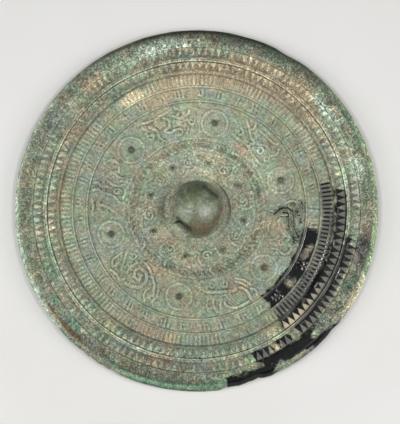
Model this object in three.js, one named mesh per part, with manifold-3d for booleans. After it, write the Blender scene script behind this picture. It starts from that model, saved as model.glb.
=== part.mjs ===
// An ancient cast-bronze mirror, lying on its polished face with the decorated back up.
// It is one casting: a convex disc with a raised, bevelled rim, a pierced domed knob and low relief in rings.
// Millimetres. +Z is up, out of the decorated back. +X runs along the cord channel through the knob.
// The origin is the centre of the small flat spot that the convex face rests on.
import * as THREE from "three";
import { mergeVertices } from "three/addons/utils/BufferGeometryUtils.js";
import Module from "manifold-3d";

const wasm = await Module();
wasm.setup();

// The disc. Levels are heights above the surface that the mirror lies on.
const FACE_RADIUS = 105; // edge of the polished face
const FACE_RISE = 1.6; // how far the convex face lifts at its edge
const REST_RADIUS = 24; // flat spot at the middle of the face
const EDGE_TOP = 2.5; // top of the short upright wall at the edge
const RIM_RADIUS = 102; // outer edge of the rim's top, where the bevelled side ends
const RIM_LEVEL = 6.2;
const RIM_BAND_INNER = 95.2; // inner edge of the plain band on the rim
const RIM_SIDES = 92;
const RIDGE_SIDES = 60;
const LINE_SIDES = 48;

// Grounds of the rings, from the rim inwards.
const TOOTH_GROUND = 5.5; // both sawtooth rings
const OUTER_TEETH_EDGE = 94.6;
const DOUBLE_RIDGE = { outer: 89.2, inner: 86.8, crestOffset: 0.5, crest: 6.3, valley: 5.95 };
const COMB_GROUND = 3.4; // a slope leads down to it from the inner sawtooth ring
const WORDS_GROUND = 3.2; // the band that once held an inscription
const WORDS = { outer: 71.7, inner: 63.8 };
const FIELD_GROUND = 2.9; // the main field and everything inside it
const FIELD_EDGE = 62.7;
const LINE_RISE = 0.55; // height of the thin ring lines

// Repeated relief: how many, from which radius to which, and how high.
const OUTER_TEETH = { count: 152, root: 89, tip: 93.9, rise: 0.5 };
const INNER_TEETH = { count: 135, root: 81.4, tip: 85.7, rise: 0.5 };
const COMB = { count: 196, inner: 72.7, outer: 78.5, rise: 0.42 };
const ROPE = { count: 84, inner: 35.7, outer: 39.7, rise: 0.4, slant: 2.6 };
const BURIED = 0.5; // how far an added dome reaches into the disc below its ground
const LINE_FOOT = 0.15; // how far an added line does

// The knob, its seat and the cord channel through it.
const KNOB = { radius: 16.5, rise: 10.4, sides: 36, steps: 6 };
const SEAT = { radius: 20, level: 3.7 };
const CHANNEL = { halfWidth: 5.5, floor: 3.75, riseAtPlusX: 5.4, riseAtMinusX: 7.4, length: 44, steps: 7 };

// Nipples. Angles are in degrees, anticlockwise from +X.
const BIG_NIPPLES = { count: 6, ring: 51.3, first: 28.1, radius: 2.5, rise: 2.3, sides: 8, seat: 7.6 };
const SMALL_NIPPLES = { count: 8, ring: 27.9, first: 25.1, radius: 1.7, rise: 1.5, sides: 6 };
const SCROLLS = { ring: 27.6, radius: 3.1, width: 0.8, rise: 0.35 };

// The creatures between the big nipples, and the strokes of the worn inscription.
const CREATURE_RING = 51.8;
const CREATURE_RISE = 0.6;
const WORD_STROKES = { places: 36, ring: 67.7, rise: 0.35, width: 1 };

// The rim's edge is nibbled away in a few places: where, how wide (degrees) and how deep.
const CHIPS = [
  { at: -122, wide: 9, deep: 1.7 },
  { at: -131, wide: 5, deep: 1.3 },
  { at: -92, wide: 4, deep: 0.9 },
  { at: 10, wide: 5, deep: 0.8 },
];

const radians = (degrees) => THREE.MathUtils.degToRad(degrees);

/** Height of the convex face's underside at a radius. */
function faceLevel(radius) {
  const share = (radius ** 2 - REST_RADIUS ** 2) / (FACE_RADIUS ** 2 - REST_RADIUS ** 2);
  return FACE_RISE * Math.max(share, 0);
}

/** A closed geometry as a solid that can be joined and cut. */
function solidOf(geometry) {
  const bare = geometry.clone();
  bare.deleteAttribute("normal");
  bare.deleteAttribute("uv");
  const merged = mergeVertices(bare, 1e-4);
  return new wasm.Manifold(
    new wasm.Mesh({
      numProp: 3,
      vertProperties: merged.attributes.position.array,
      triVerts: new Uint32Array(merged.index.array),
    }),
  );
}

/** A solid as a three.js geometry. */
function geometryOf(solid) {
  const mesh = solid.getMesh();
  const positions = new Float32Array(mesh.numVert * 3);
  for (let i = 0; i < mesh.numVert; i++) {
    positions.set(mesh.vertProperties.subarray(i * mesh.numProp, i * mesh.numProp + 3), i * 3);
  }
  const geometry = new THREE.BufferGeometry();
  geometry.setAttribute("position", new THREE.BufferAttribute(positions, 3));
  geometry.setIndex(new THREE.BufferAttribute(mesh.triVerts, 1));
  geometry.computeVertexNormals();
  return geometry;
}

/** A loop of points [turn, radius, height, skew in turns], evenly spaced round +Z. */
function ring(radius, height, sides) {
  return Array.from({ length: sides }, (_, i) => [i / sides, radius, height, 0]);
}

/** A loop that goes to and fro between a low and a high [radius, height], `count` times. */
function zigzag(count, low, high, skew = 0) {
  return Array.from({ length: 2 * count }, (_, i) => [i / (2 * count), ...(i % 2 ? high : low), skew]);
}

/** A closed surface from a point below, out through nested loops and back in to a point above. */
function stitched(bottom, loops, top) {
  const points = [[0, 0, bottom], [0, 0, top]];
  const faces = [];
  const starts = loops.map((loop) => {
    const start = points.length;
    loop.forEach(([turn, radius, height, skew]) => {
      const angle = 2 * Math.PI * (turn + skew);
      points.push([radius * Math.cos(angle), radius * Math.sin(angle), height]);
    });
    return start;
  });
  const after = (loop, i) => (i + 1 < loop.length ? loop[i + 1][0] : 1 + loop[0][0]);
  loops.slice(1).forEach((inner, k) => {
    const outer = loops[k];
    const from = (i) => starts[k] + (i % outer.length);
    const to = (j) => starts[k + 1] + (j % inner.length);
    let [i, j] = [0, 0];
    while (i < outer.length || j < inner.length) {
      if (j < inner.length && (i >= outer.length || after(inner, j) < after(outer, i) + 1e-9)) {
        faces.push(from(i), to(j + 1), to(j));
        j += 1;
      } else {
        faces.push(from(i), from(i + 1), to(j));
        i += 1;
      }
    }
  });
  const last = loops.length - 1;
  loops[0].forEach((_, i) => faces.push(0, starts[0] + ((i + 1) % loops[0].length), starts[0] + i));
  loops[last].forEach((_, i) => faces.push(1, starts[last] + i, starts[last] + ((i + 1) % loops[last].length)));
  const geometry = new THREE.BufferGeometry();
  geometry.setAttribute("position", new THREE.Float32BufferAttribute(points.flat(), 3));
  return geometry.setIndex(faces);
}

/** How much of the edge is missing at an angle. */
function missingEdge(angle) {
  return CHIPS.reduce((most, { at, wide, deep }) => {
    const away = Math.abs(THREE.MathUtils.euclideanModulo(THREE.MathUtils.radToDeg(angle) - at + 180, 360) - 180);
    return Math.max(most, away < wide ? deep * (1 - away / wide) : 0);
  }, 0);
}

/** A thin ring line between two grounds, or one end of it, from the outside in. */
function ringLine(radius, outerGround, innerGround, sides) {
  const crest = (outerGround + innerGround) / 2 + LINE_RISE;
  return [
    ring(radius + 0.5, outerGround, sides),
    ring(radius, crest, sides),
    ring(radius - 0.5, innerGround, sides),
  ];
}

/** A ring of teeth whose tips point outwards and slope down to the ground, from the outside in. */
function teeth({ count, root, tip, rise }) {
  return [zigzag(count, [root, TOOTH_GROUND], [tip, TOOTH_GROUND]), ring(root, TOOTH_GROUND + rise, count)];
}

/** A ring of roof-shaped strokes on a ground, radial or slanted, from the outside in. */
function strokes({ count, inner, outer, rise, slant = 0 }, ground) {
  const skew = slant / 720;
  return [
    zigzag(count, [outer, ground], [outer, ground + rise], skew),
    zigzag(count, [inner, ground], [inner, ground + rise], -skew),
  ];
}

/** The disc: convex face below, and above it the rim, the rings, the field, the seat and the knob. */
function disc() {
  const { outer, inner, crestOffset, crest, valley } = DOUBLE_RIDGE;
  const fieldLine = (FIELD_EDGE + WORDS.inner) / 2;
  const dome = Array.from({ length: KNOB.steps }, (_, i) => {
    const angle = (Math.PI / 2) * (i / KNOB.steps);
    return ring(KNOB.radius * Math.cos(angle), SEAT.level + KNOB.rise * Math.sin(angle), KNOB.sides);
  });
  const rim = [
    ring(FACE_RADIUS, FACE_RISE, RIM_SIDES),
    ring(FACE_RADIUS, EDGE_TOP, RIM_SIDES),
    ring(RIM_RADIUS, RIM_LEVEL, RIM_SIDES),
  ];
  rim.flat().forEach((point) => {
    point[1] -= missingEdge(2 * Math.PI * point[0]);
  });
  return stitched(
    0,
    [
      ring(REST_RADIUS, 0, 36),
      ring(66, faceLevel(66), 48),
      ...rim,
      ring(RIM_BAND_INNER, RIM_LEVEL, RIDGE_SIDES),
      ring(OUTER_TEETH_EDGE, TOOTH_GROUND, RIDGE_SIDES),
      ...teeth(OUTER_TEETH),
      ring(outer - crestOffset, crest, RIDGE_SIDES),
      ring((outer + inner) / 2, valley, RIDGE_SIDES),
      ring(inner + crestOffset, crest, RIDGE_SIDES),
      ring(inner, TOOTH_GROUND, RIDGE_SIDES),
      ...teeth(INNER_TEETH),
      ...strokes(COMB, COMB_GROUND),
      ...ringLine(WORDS.outer + 0.5, COMB_GROUND, WORDS_GROUND, LINE_SIDES).slice(1),
      ...ringLine(fieldLine, WORDS_GROUND, FIELD_GROUND, LINE_SIDES),
      ...ringLine(ROPE.outer + 0.9, FIELD_GROUND, FIELD_GROUND, KNOB.sides),
      ...strokes(ROPE, FIELD_GROUND),
      ...ringLine(ROPE.inner - 0.9, FIELD_GROUND, FIELD_GROUND, KNOB.sides),
      ring(SEAT.radius + 0.4, FIELD_GROUND, KNOB.sides),
      ring(SEAT.radius, SEAT.level, KNOB.sides),
      ...dome,
    ],
    SEAT.level + KNOB.rise,
  );
}

/** A closed round surface from [radius, height] pairs, bottom centre to top centre. */
function turned(profile, sides) {
  const [bottom, top] = [profile[0][1], profile[profile.length - 1][1]];
  return stitched(bottom, profile.slice(1, -1).map(([radius, height]) => ring(radius, height, sides)), top);
}

/** A roof-shaped line along a curve, tapering from one width to another, that stands on a ground. */
function ridge(curve, startWidth, endWidth, steps, ground, rise) {
  const spread = (rise + LINE_FOOT) / rise / 2;
  const points = Array.from({ length: steps + 1 }, (_, i) => {
    const at = curve.getPoint(i / steps);
    const along = curve.getTangent(i / steps);
    const half = THREE.MathUtils.lerp(startWidth, endWidth, i / steps) * spread;
    return [
      [at.x - along.y * half, at.y + along.x * half, ground - LINE_FOOT],
      [at.x + along.y * half, at.y - along.x * half, ground - LINE_FOOT],
      [at.x, at.y, ground + rise],
    ];
  }).flat();
  const faces = [0, 1, 2, 3 * steps, 3 * steps + 2, 3 * steps + 1];
  for (let i = 0; i < 3 * steps; i += 3) {
    for (const [from, to] of [[0, 1], [1, 2], [2, 0]]) {
      faces.push(i + from, i + 3 + from, i + 3 + to, i + from, i + 3 + to, i + to);
    }
  }
  const geometry = new THREE.BufferGeometry();
  geometry.setAttribute("position", new THREE.Float32BufferAttribute(points.flat(), 3));
  return geometry.setIndex(faces);
}

/** Bends a geometry drawn with u along x and v along y round a ring, centred at an angle. */
function bentRound(geometry, distance, centreDegrees) {
  const position = geometry.attributes.position;
  for (let i = 0; i < position.count; i++) {
    const radius = distance + position.getY(i);
    const angle = radians(centreDegrees) + position.getX(i) / distance;
    position.setXY(i, radius * Math.cos(angle), radius * Math.sin(angle));
  }
  // u runs anticlockwise and v outwards, a left-handed pair, so every face is turned back.
  const faces = geometry.index.array;
  for (let i = 0; i < faces.length; i += 3) {
    [faces[i + 1], faces[i + 2]] = [faces[i + 2], faces[i + 1]];
  }
  return geometry;
}

const through = (...pairs) => new THREE.SplineCurve(pairs.map(([u, v]) => new THREE.Vector2(u, v)));

/** A spiral about a centre, from its inner radius out, in quarter turns. */
function spiral([u, v], inner, outer, startDegrees, turns) {
  const count = Math.ceil(Math.abs(turns) * 6) + 1;
  const points = Array.from({ length: count }, (_, i) => {
    const share = i / (count - 1);
    const angle = radians(startDegrees) + 2 * Math.PI * turns * share;
    const radius = THREE.MathUtils.lerp(inner, outer, share);
    return [u + radius * Math.cos(angle), v + radius * Math.sin(angle)];
  });
  return through(...points);
}

// Each creature is a few tapering lines: [curve, start width, end width, steps].
// u runs anticlockwise along the ring and v outwards, both from the middle of its field.
const CREATURES = {
  dragon: [
    [through([9, 6], [4, 4.5], [7, -1], [2, -6], [-5, -5.5], [-9, 0], [-15, 3]), 1.6, 0.9, 7],
    [through([9, 6], [13, 7.5], [16, 5]), 1.6, 0.7, 2],
    [through([10, 2], [14, 1], [16, -3]), 1, 0.6, 2],
    [through([-4, -4.5], [-7, -8.5], [-11, -8]), 1, 0.6, 2],
    [spiral([-2, 4], 1.2, 3.8, 40, 1), 0.7, 0.9, 5],
  ],
  bird: [
    [through([-9, 7], [-7, 3], [-2, 0], [4, -2], [9, -1]), 1.2, 2, 4],
    [through([0, 0], [2, 5], [8, 8]), 1.3, 0.6, 2],
    [through([-3, -1], [-5, -6], [-11, -7]), 1.3, 0.6, 2],
    [through([9, -1], [13, 2], [16, 7]), 1.6, 0.7, 2],
    [through([9, -1], [14, -3], [17, -7]), 1.4, 0.6, 2],
  ],
  plumedBird: [
    [spiral([4, 3.4], 1.5, 5.6, 200, -1.1), 0.9, 1.1, 6],
    [through([9, -2], [5, -5], [-2, -3], [-8, 0], [-13, 5]), 1.9, 1.1, 4],
    [through([-3, -3], [-6, -7.5], [-12, -7]), 1.2, 0.6, 2],
    [through([-8, 0], [-9, 5], [-5, 8]), 1, 0.6, 2],
  ],
  coiledBeast: [
    [spiral([3.5, -0.5], 1.6, 7, 60, 1.6), 1, 1.4, 10],
    [through([-3.5, -1.5], [-8, 3], [-12, 1], [-16, 5]), 1.8, 0.8, 4],
    [through([-8, 2], [-9, -4], [-14, -7]), 1.2, 0.6, 2],
    [through([10, 4], [13, 7], [16, 4]), 1.1, 0.6, 2],
  ],
  tiger: [
    [through([13, 3], [8, 5], [1, 2], [-6, 4], [-11, 0]), 1.8, 1.8, 5],
    [through([9, 4], [11, -2], [15, -6]), 1.3, 0.7, 2],
    [through([3, 2], [3, -3], [7, -7]), 1.3, 0.7, 2],
    [through([-9, 1], [-6, -4], [-9, -8]), 1.3, 0.7, 2],
    [through([-11, 0], [-16, 1], [-17, 6], [-12, 8]), 1.1, 0.6, 4],
  ],
  wingedBeast: [
    [through([14, 7], [9, 3], [8, -3], [2, -6], [-4, -3], [-10, -1]), 1.2, 1.8, 6],
    [through([8, 7], [1, 7.5], [-2, 3]), 1, 0.7, 3],
    [spiral([-7, -5.2], 0.9, 2.8, 90, -1), 0.7, 0.8, 4],
    [through([-10, -1], [-13, 4], [-9, 8]), 1.4, 0.7, 3],
    [through([3, -5.5], [7, -8.5], [12, -8]), 1.1, 0.6, 2],
  ],
};
const FIELD_ORDER = ["bird", "dragon", "plumedBird", "coiledBeast", "tiger", "wingedBeast"];

/** The six creatures, one to each field between the big nipples. */
function creatures() {
  const pitch = 360 / BIG_NIPPLES.count;
  return FIELD_ORDER.flatMap((name, i) => {
    const centre = BIG_NIPPLES.first - pitch / 2 - i * pitch;
    return CREATURES[name].map(([curve, start, end, steps]) =>
      bentRound(ridge(curve, start, end, steps, FIELD_GROUND, CREATURE_RISE), CREATURE_RING, centre),
    );
  });
}

/** A dome on the ground at a place on a ring. */
function nipple({ radius, rise, ring: distance, sides }, degrees) {
  const profile = [
    [0, FIELD_GROUND - BURIED],
    [radius, FIELD_GROUND - BURIED],
    [radius, FIELD_GROUND],
    [radius * 0.7, FIELD_GROUND + rise * 0.68],
    [0, FIELD_GROUND + rise],
  ];
  return turned(profile, sides).translate(distance, 0, 0).rotateZ(radians(degrees));
}

/** The low round pad, edged with a line, that a big nipple stands on. */
function nippleSeat({ seat, ring: distance }, degrees) {
  const profile = [
    [0, FIELD_GROUND - BURIED],
    [seat + 0.5, FIELD_GROUND - BURIED],
    [seat + 0.5, FIELD_GROUND],
    [seat, FIELD_GROUND + LINE_RISE],
    [seat - 0.6, FIELD_GROUND + 0.12],
    [0, FIELD_GROUND + 0.12],
  ];
  return turned(profile, 12).translate(distance, 0, 0).rotateZ(radians(degrees));
}

/** Big nipples in their seats, small nipples, and a curl between each two small ones. */
function nipples() {
  const big = Array.from({ length: BIG_NIPPLES.count }, (_, i) => {
    const at = BIG_NIPPLES.first + (360 / BIG_NIPPLES.count) * i;
    return [nipple(BIG_NIPPLES, at), nippleSeat(BIG_NIPPLES, at)];
  });
  const small = Array.from({ length: SMALL_NIPPLES.count }, (_, i) => {
    const pitch = 360 / SMALL_NIPPLES.count;
    const at = SMALL_NIPPLES.first + pitch * i;
    const curve = spiral([0, 0], 0.9, SCROLLS.radius, pitch * i, 1);
    const curl = ridge(curve, SCROLLS.width, SCROLLS.width, 5, FIELD_GROUND, SCROLLS.rise);
    return [
      nipple(SMALL_NIPPLES, at),
      bentRound(curl, SCROLLS.ring, at + pitch / 2),
    ];
  });
  return [...big, ...small].flat();
}

/** Shallow strokes in the band of the inscription. They are not letters. */
function wordStrokes() {
  const { places, ring: distance, rise, width } = WORD_STROKES;
  return Array.from({ length: places }, (_, i) => {
    const lean = ((i * 5) % 7) - 3;
    const reach = 1.6 + ((i * 3) % 4) * 0.35;
    const line = through([-lean * 0.4, -reach], [lean * 0.4, reach]);
    return bentRound(ridge(line, width, width, 1, WORDS_GROUND, rise), distance, (360 / places) * i);
  });
}

/** The arched cord channel through the knob, wider and higher where the cord has worn one mouth. */
function channel() {
  const { halfWidth, floor, riseAtPlusX, riseAtMinusX, length, steps } = CHANNEL;
  const arch = Array.from({ length: steps + 1 }, (_, i) => {
    const angle = (Math.PI * i) / steps;
    return new THREE.Vector2(halfWidth * Math.cos(angle), Math.sin(angle));
  });
  const geometry = new THREE.ExtrudeGeometry(new THREE.Shape(arch), { depth: length, bevelEnabled: false })
    .translate(0, 0, -length / 2)
    .rotateX(Math.PI / 2)
    .rotateZ(Math.PI / 2);
  const position = geometry.attributes.position;
  for (let i = 0; i < position.count; i++) {
    const share = THREE.MathUtils.clamp(position.getX(i) / (2 * KNOB.radius) + 0.5, 0, 1);
    const rise = THREE.MathUtils.lerp(riseAtMinusX, riseAtPlusX, share);
    position.setZ(i, floor + position.getZ(i) * rise);
  }
  return geometry;
}

const relief = [...creatures(), ...nipples(), ...wordStrokes()];
const joined = wasm.Manifold.union([disc(), ...relief].map(solidOf)).subtract(solidOf(channel()));
// Where lines cross, a speck of nothing can be left inside: only the outer body is kept.
const casting = joined.decompose().reduce((most, body) => (body.volume() > most.volume() ? body : most));

const bronze = new THREE.MeshStandardMaterial({ color: 0x84907a, roughness: 0.72, metalness: 0.35 });
const mirror = new THREE.Mesh(geometryOf(casting), bronze);
mirror.name = "bronze_mirror";

const part = new THREE.Group();
part.add(mirror);
export default part;
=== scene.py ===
"""Dresses the ancient cast-bronze mirror: relief, worn crust and bare black patina, on a pale floor.

The mirror lies on its polished face with the decorated back up. Sizes in the classes are millimetres and
degrees; angles run anticlockwise from +X, which points along the cord channel of the knob.
"""

import logging
import math
from collections.abc import Callable, Iterator, Sequence
from contextlib import contextmanager
from dataclasses import dataclass, field
from enum import Enum
from itertools import pairwise

import bpy
import numpy as np
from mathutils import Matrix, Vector
from numpy.typing import NDArray


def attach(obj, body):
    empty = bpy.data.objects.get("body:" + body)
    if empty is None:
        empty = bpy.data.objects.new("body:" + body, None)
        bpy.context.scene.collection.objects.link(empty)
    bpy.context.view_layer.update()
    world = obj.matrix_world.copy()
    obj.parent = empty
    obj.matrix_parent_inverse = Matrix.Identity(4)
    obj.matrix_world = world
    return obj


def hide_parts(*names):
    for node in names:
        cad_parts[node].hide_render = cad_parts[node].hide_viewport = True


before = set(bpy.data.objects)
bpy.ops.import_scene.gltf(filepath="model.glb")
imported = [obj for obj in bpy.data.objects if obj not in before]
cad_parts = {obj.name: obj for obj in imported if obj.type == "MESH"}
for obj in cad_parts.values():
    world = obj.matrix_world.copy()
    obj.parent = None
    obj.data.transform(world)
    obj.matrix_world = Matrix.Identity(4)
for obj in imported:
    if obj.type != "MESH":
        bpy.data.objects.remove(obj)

log = logging.getLogger("bronze_mirror")

MM = 0.001
Array = NDArray[np.float64]
Point = tuple[float, float]
Socket = bpy.types.NodeSocket


# ---------------------------------------------------------------- small tools


def ease(low: float, high: float, value: Array) -> Array:
    """Goes smoothly from 0 at low to 1 at high, which may be less than low."""
    share = np.clip((value - low) / (high - low), 0.0, 1.0)
    return share * share * (3.0 - 2.0 * share)


def degrees_between(angle: Array, centre: float) -> Array:
    """Signed degrees from a centre to each angle, from -180 to 180."""
    return (angle - centre + 180.0) % 360.0 - 180.0


def polar(points: Array) -> tuple[Array, Array]:
    """Radius, and angle in degrees, of each point."""
    return np.hypot(points[:, 0], points[:, 1]), np.degrees(np.arctan2(points[:, 1], points[:, 0]))


def smooth_path(points: Sequence[Point], steps: int) -> Array:
    """A Catmull-Rom curve through points.

    Args:
        points: The points that it passes through.
        steps: How many steps it makes between two of them.

    Returns:
        Its points, one to a row.
    """
    knots = np.array([points[0], *points, points[-1]], float)
    share = np.linspace(0.0, 1.0, steps, endpoint=False)[:, None]
    parts = []
    for a, b, c, d in zip(knots, knots[1:], knots[2:], knots[3:]):
        bend, twist = 2 * a - 5 * b + 4 * c - d, 3 * b - a - 3 * c + d
        parts.append(0.5 * (2 * b + (c - a) * share + bend * share**2 + twist * share**3))
    return np.vstack([*parts, knots[-1:]])


def coil(centre: Point, inner: float, outer: float, start: float, turns: float) -> list[Point]:
    """Points along a spiral.

    Args:
        centre: Its middle.
        inner: Radius where it starts.
        outer: Radius where it ends.
        start: Angle where it starts, in degrees.
        turns: How many times it goes round; negative is clockwise.

    Returns:
        Points eight to a turn.
    """
    count = max(3, math.ceil(abs(turns) * 8) + 1)
    made = []
    for share in np.linspace(0.0, 1.0, count):
        angle = math.radians(start + 360.0 * turns * share)
        radius = inner + (outer - inner) * share
        made.append((centre[0] + radius * math.cos(angle), centre[1] + radius * math.sin(angle)))
    return made


class Lumps:
    """Smooth uneven lumps in the plane, the same each time."""

    def __init__(self, size: float, seed: int) -> None:
        """Makes a lattice with size millimetres between lumps; seed says which pattern."""
        self.size = size
        self.table = np.random.default_rng(seed).uniform(-1.0, 1.0, (256, 256))

    def at(self, x: Array, y: Array) -> Array:
        """The height of the lumps.

        Args:
            x: Places along x, in millimetres.
            y: Places along y.

        Returns:
            Heights from -1 to 1.
        """
        u, v = x / self.size + 1000.0, y / self.size + 1000.0
        i, j = np.floor(u).astype(int), np.floor(v).astype(int)
        s, t = ease(0.0, 1.0, u - i), ease(0.0, 1.0, v - j)
        corner = [[self.table[(i + a) % 256, (j + b) % 256] for b in (0, 1)] for a in (0, 1)]
        near = corner[0][0] * (1 - t) + corner[0][1] * t
        far = corner[1][0] * (1 - t) + corner[1][1] * t
        return near * (1 - s) + far * s


def read_points(piece: bpy.types.Object) -> Array:
    """The vertices of a mesh.

    Args:
        piece: The piece that holds it.

    Returns:
        Points in millimetres, one to a row.
    """
    flat = np.empty(len(piece.data.vertices) * 3)
    piece.data.vertices.foreach_get("co", flat)
    return flat.reshape(-1, 3) / MM


def write_points(piece: bpy.types.Object, points: Array) -> None:
    """Moves the vertices of a mesh to points in millimetres."""
    piece.data.vertices.foreach_set("co", (points * MM).ravel())
    piece.data.update()


def write_layer(piece: bpy.types.Object, name: str, values: Array) -> None:
    """Stores one number for each vertex under a name that the material reads."""
    layer = piece.data.attributes.get(name) or piece.data.attributes.new(name, "FLOAT", "POINT")
    layer.data.foreach_set("value", values.astype(np.float32))


def read_layer(piece: bpy.types.Object, name: str) -> Array:
    """The numbers stored for the vertices under a name.

    Args:
        piece: The piece.
        name: The layer's name.

    Returns:
        One number for each vertex.
    """
    values = np.empty(len(piece.data.vertices), np.float32)
    piece.data.attributes[name].data.foreach_get("value", values)
    return values.astype(float)


def only(piece: bpy.types.Object) -> None:
    """Selects one piece alone, and makes it active.

    Args:
        piece: The piece.
    """
    bpy.ops.object.select_all(action="DESELECT")
    bpy.context.view_layer.objects.active = piece
    piece.select_set(True)


@contextmanager
def editing(start: str | None = "SELECT") -> Iterator[None]:
    """Works on the active piece in edit mode.

    Args:
        start: SELECT or DESELECT all of it first, or None to leave its selection.

    Yields:
        Nothing.
    """
    bpy.ops.object.mode_set(mode="EDIT")
    if start:
        bpy.ops.mesh.select_all(action=start)
    yield
    bpy.ops.object.mode_set(mode="OBJECT")


def pick_groups(piece: bpy.types.Object, *names: str) -> None:
    """Selects named groups of points and nothing else, in edit mode.

    Args:
        piece: The active piece.
        names: The groups.
    """
    bpy.ops.mesh.select_mode(type="VERT")
    bpy.ops.mesh.select_all(action="DESELECT")
    for name in names:
        piece.vertex_groups.active = piece.vertex_groups[name]
        bpy.ops.object.vertex_group_select()


def turn_outwards() -> None:
    """Turns all faces of the active piece outwards, in edit mode."""
    bpy.ops.mesh.select_all(action="SELECT")
    bpy.ops.mesh.normals_make_consistent(inside=False)


def select_faces(piece: bpy.types.Object, wanted: Callable[[Array, Array], Array]) -> None:
    """Selects the faces of a piece that are wanted, and nothing else.

    Args:
        piece: The piece.
        wanted: Takes the faces' centres in millimetres and their normals, and says which.
    """
    only(piece)
    with editing("DESELECT"):
        bpy.ops.mesh.select_mode(type="FACE")
    faces = piece.data.polygons
    centre, normal = np.empty(len(faces) * 3), np.empty(len(faces) * 3)
    faces.foreach_get("center", centre)
    faces.foreach_get("normal", normal)
    faces.foreach_set("select", wanted(centre.reshape(-1, 3) / MM, normal.reshape(-1, 3)))


def level(section: Sequence[Point], radius: Array) -> Array:
    """The height of a section, given as points of radius and height, at each radius."""
    radii, heights = zip(*sorted(section))
    return np.interp(radius, radii, heights)


def away_from(radius: Array, angle: Array, ring: float, at: float) -> Array:
    """How far each place is from a point at an angle on a ring."""
    bearing = np.radians(degrees_between(angle, at))
    return np.hypot(radius - ring * np.cos(bearing), ring * np.sin(bearing))


# ---------------------------------------------------------------- levels and relief lines


@dataclass(frozen=True)
class Levels:
    """Heights above the surface that the mirror lies on."""

    rim: float = 6.15
    teeth: float = 5.5
    comb: float = 3.4
    words: float = 3.2
    field: float = 2.9
    seat: float = 3.7
    line: float = 0.5
    face_edge: float = 1.6
    back: float = 1.7  # what is higher is on the decorated back or the edge, and not on the face
    rest_radius: float = 24.0
    face_radius: float = 105.0

    def face(self, radius: Array) -> Array:
        """Height of the convex face at each radius, flat in the middle where it rests."""
        span = self.face_radius**2 - self.rest_radius**2
        return self.face_edge * np.clip((radius**2 - self.rest_radius**2) / span, 0.0, None)


LEVELS = Levels()
SIDE = 0.35  # over how much of its width a line's edge rises
BROAD = 1.5  # a line wider than this has a groove along its middle
GROOVE = 0.55  # how much of its height the groove takes


@dataclass(frozen=True)
class Stroke:
    """A rounded raised line, with u anticlockwise along a ring and v outwards, from its field's middle."""

    points: Sequence[Point]
    start: float = 1.2
    end: float = 0.9
    rise: float = 0.42
    dark: bool = False

    def lift(self, u: Array, v: Array) -> Array:
        """Height of the line at each place.

        Args:
            u: Distance along the ring.
            v: Distance outwards.

        Returns:
            Heights, 0 away from the line.
        """
        path = smooth_path(self.points, 6)
        height = np.zeros_like(u)
        near = (
            (u > path[:, 0].min() - 2) & (u < path[:, 0].max() + 2)
            & (v > path[:, 1].min() - 2) & (v < path[:, 1].max() + 2)
        )
        if not near.any():
            return height
        nu, nv = u[near], v[near]
        inside = np.full_like(nu, -9.0)
        widths = np.linspace(self.start, self.end, len(path)) / 2
        for (a, b), half in zip(pairwise(path), widths):
            along = b - a
            share = np.clip(((nu - a[0]) * along[0] + (nv - a[1]) * along[1]) / (along @ along + 1e-9), 0, 1)
            away = np.hypot(nu - a[0] - share * along[0], nv - a[1] - share * along[1])
            inside = np.maximum(inside, half + 0.2 - away)
        body = ease(0.0, SIDE, inside)
        if self.start > BROAD:
            body = body * (1.0 - GROOVE * ease(0.55, 0.95, inside))
        height[near] = self.rise * body
        return height


@dataclass(frozen=True)
class Hatch:
    """A patch of fine parallel strokes, as on a wing or a flank."""

    centre: Point
    length: float
    width: float
    lean: float
    spacing: float = 1.25
    rise: float = 0.3

    def lift(self, u: Array, v: Array) -> Array:
        """Height of the hatching at each place.

        Args:
            u: Distance along the ring.
            v: Distance outwards.

        Returns:
            Heights, 0 outside its oval.
        """
        cos, sin = math.cos(math.radians(self.lean)), math.sin(math.radians(self.lean))
        du, dv = u - self.centre[0], v - self.centre[1]
        along, across = du * cos + dv * sin, dv * cos - du * sin
        oval = 1.0 - (along / self.length) ** 2 - (across / self.width) ** 2
        wave = 0.5 + 0.5 * np.cos(2 * math.pi * along / self.spacing)
        return self.rise * ease(0.0, 0.25, oval) * wave


def plain(*points: Point) -> Stroke:
    """A stroke of the usual width through points."""
    return Stroke(points)


def limb(*points: Point) -> Stroke:
    """A leg, wing or tail: a stroke a little wider than usual."""
    return Stroke(points, 1.4, 1.0)


def scratch(*points: Point) -> Stroke:
    """A narrow stroke that shows black through the crust."""
    return Stroke(points, 0.8, 0.7, 0.4, True)


def curl(centre: Point, inner: float, outer: float, start: float, turns: float) -> Stroke:
    """A narrow stroke along a spiral, with what coil takes."""
    return Stroke(coil(centre, inner, outer, start, turns), 0.9, 0.8)


def faint_strokes(count: int, reach: float, depth: float, seed: int) -> Iterator[Stroke]:
    """The short worn strokes that fill a field between its figures.

    Args:
        count: How many.
        reach: How far along the ring they lie from the middle.
        depth: How far inwards and outwards they lie.
        seed: Which scatter of them.

    Yields:
        Each stroke.
    """
    pick = np.random.default_rng(1000 + seed)
    for _ in range(count):
        u, v = pick.uniform(-reach, reach), pick.uniform(-depth, depth)
        lean, bend, half = pick.uniform(0.0, math.pi), pick.uniform(-1.2, 1.2), pick.uniform(1.0, 2.2)
        ends = [(u + side * half * math.cos(lean), v + side * half * math.sin(lean)) for side in (-1, 1)]
        middle = (u - bend * math.sin(lean), v + bend * math.cos(lean))
        yield Stroke([ends[0], middle, ends[1]], 0.8, 0.7, 0.22)


class Creature(Enum):
    """The worn figures between the big nipples, by the middle of their field in degrees."""

    BIRD = -1.1
    DRAGON = -60.8
    PLUMED_BIRD = -121.2
    COILED_BEAST = 177.2
    TIGER = 116.8
    WINGED_BEAST = 57.9


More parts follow.
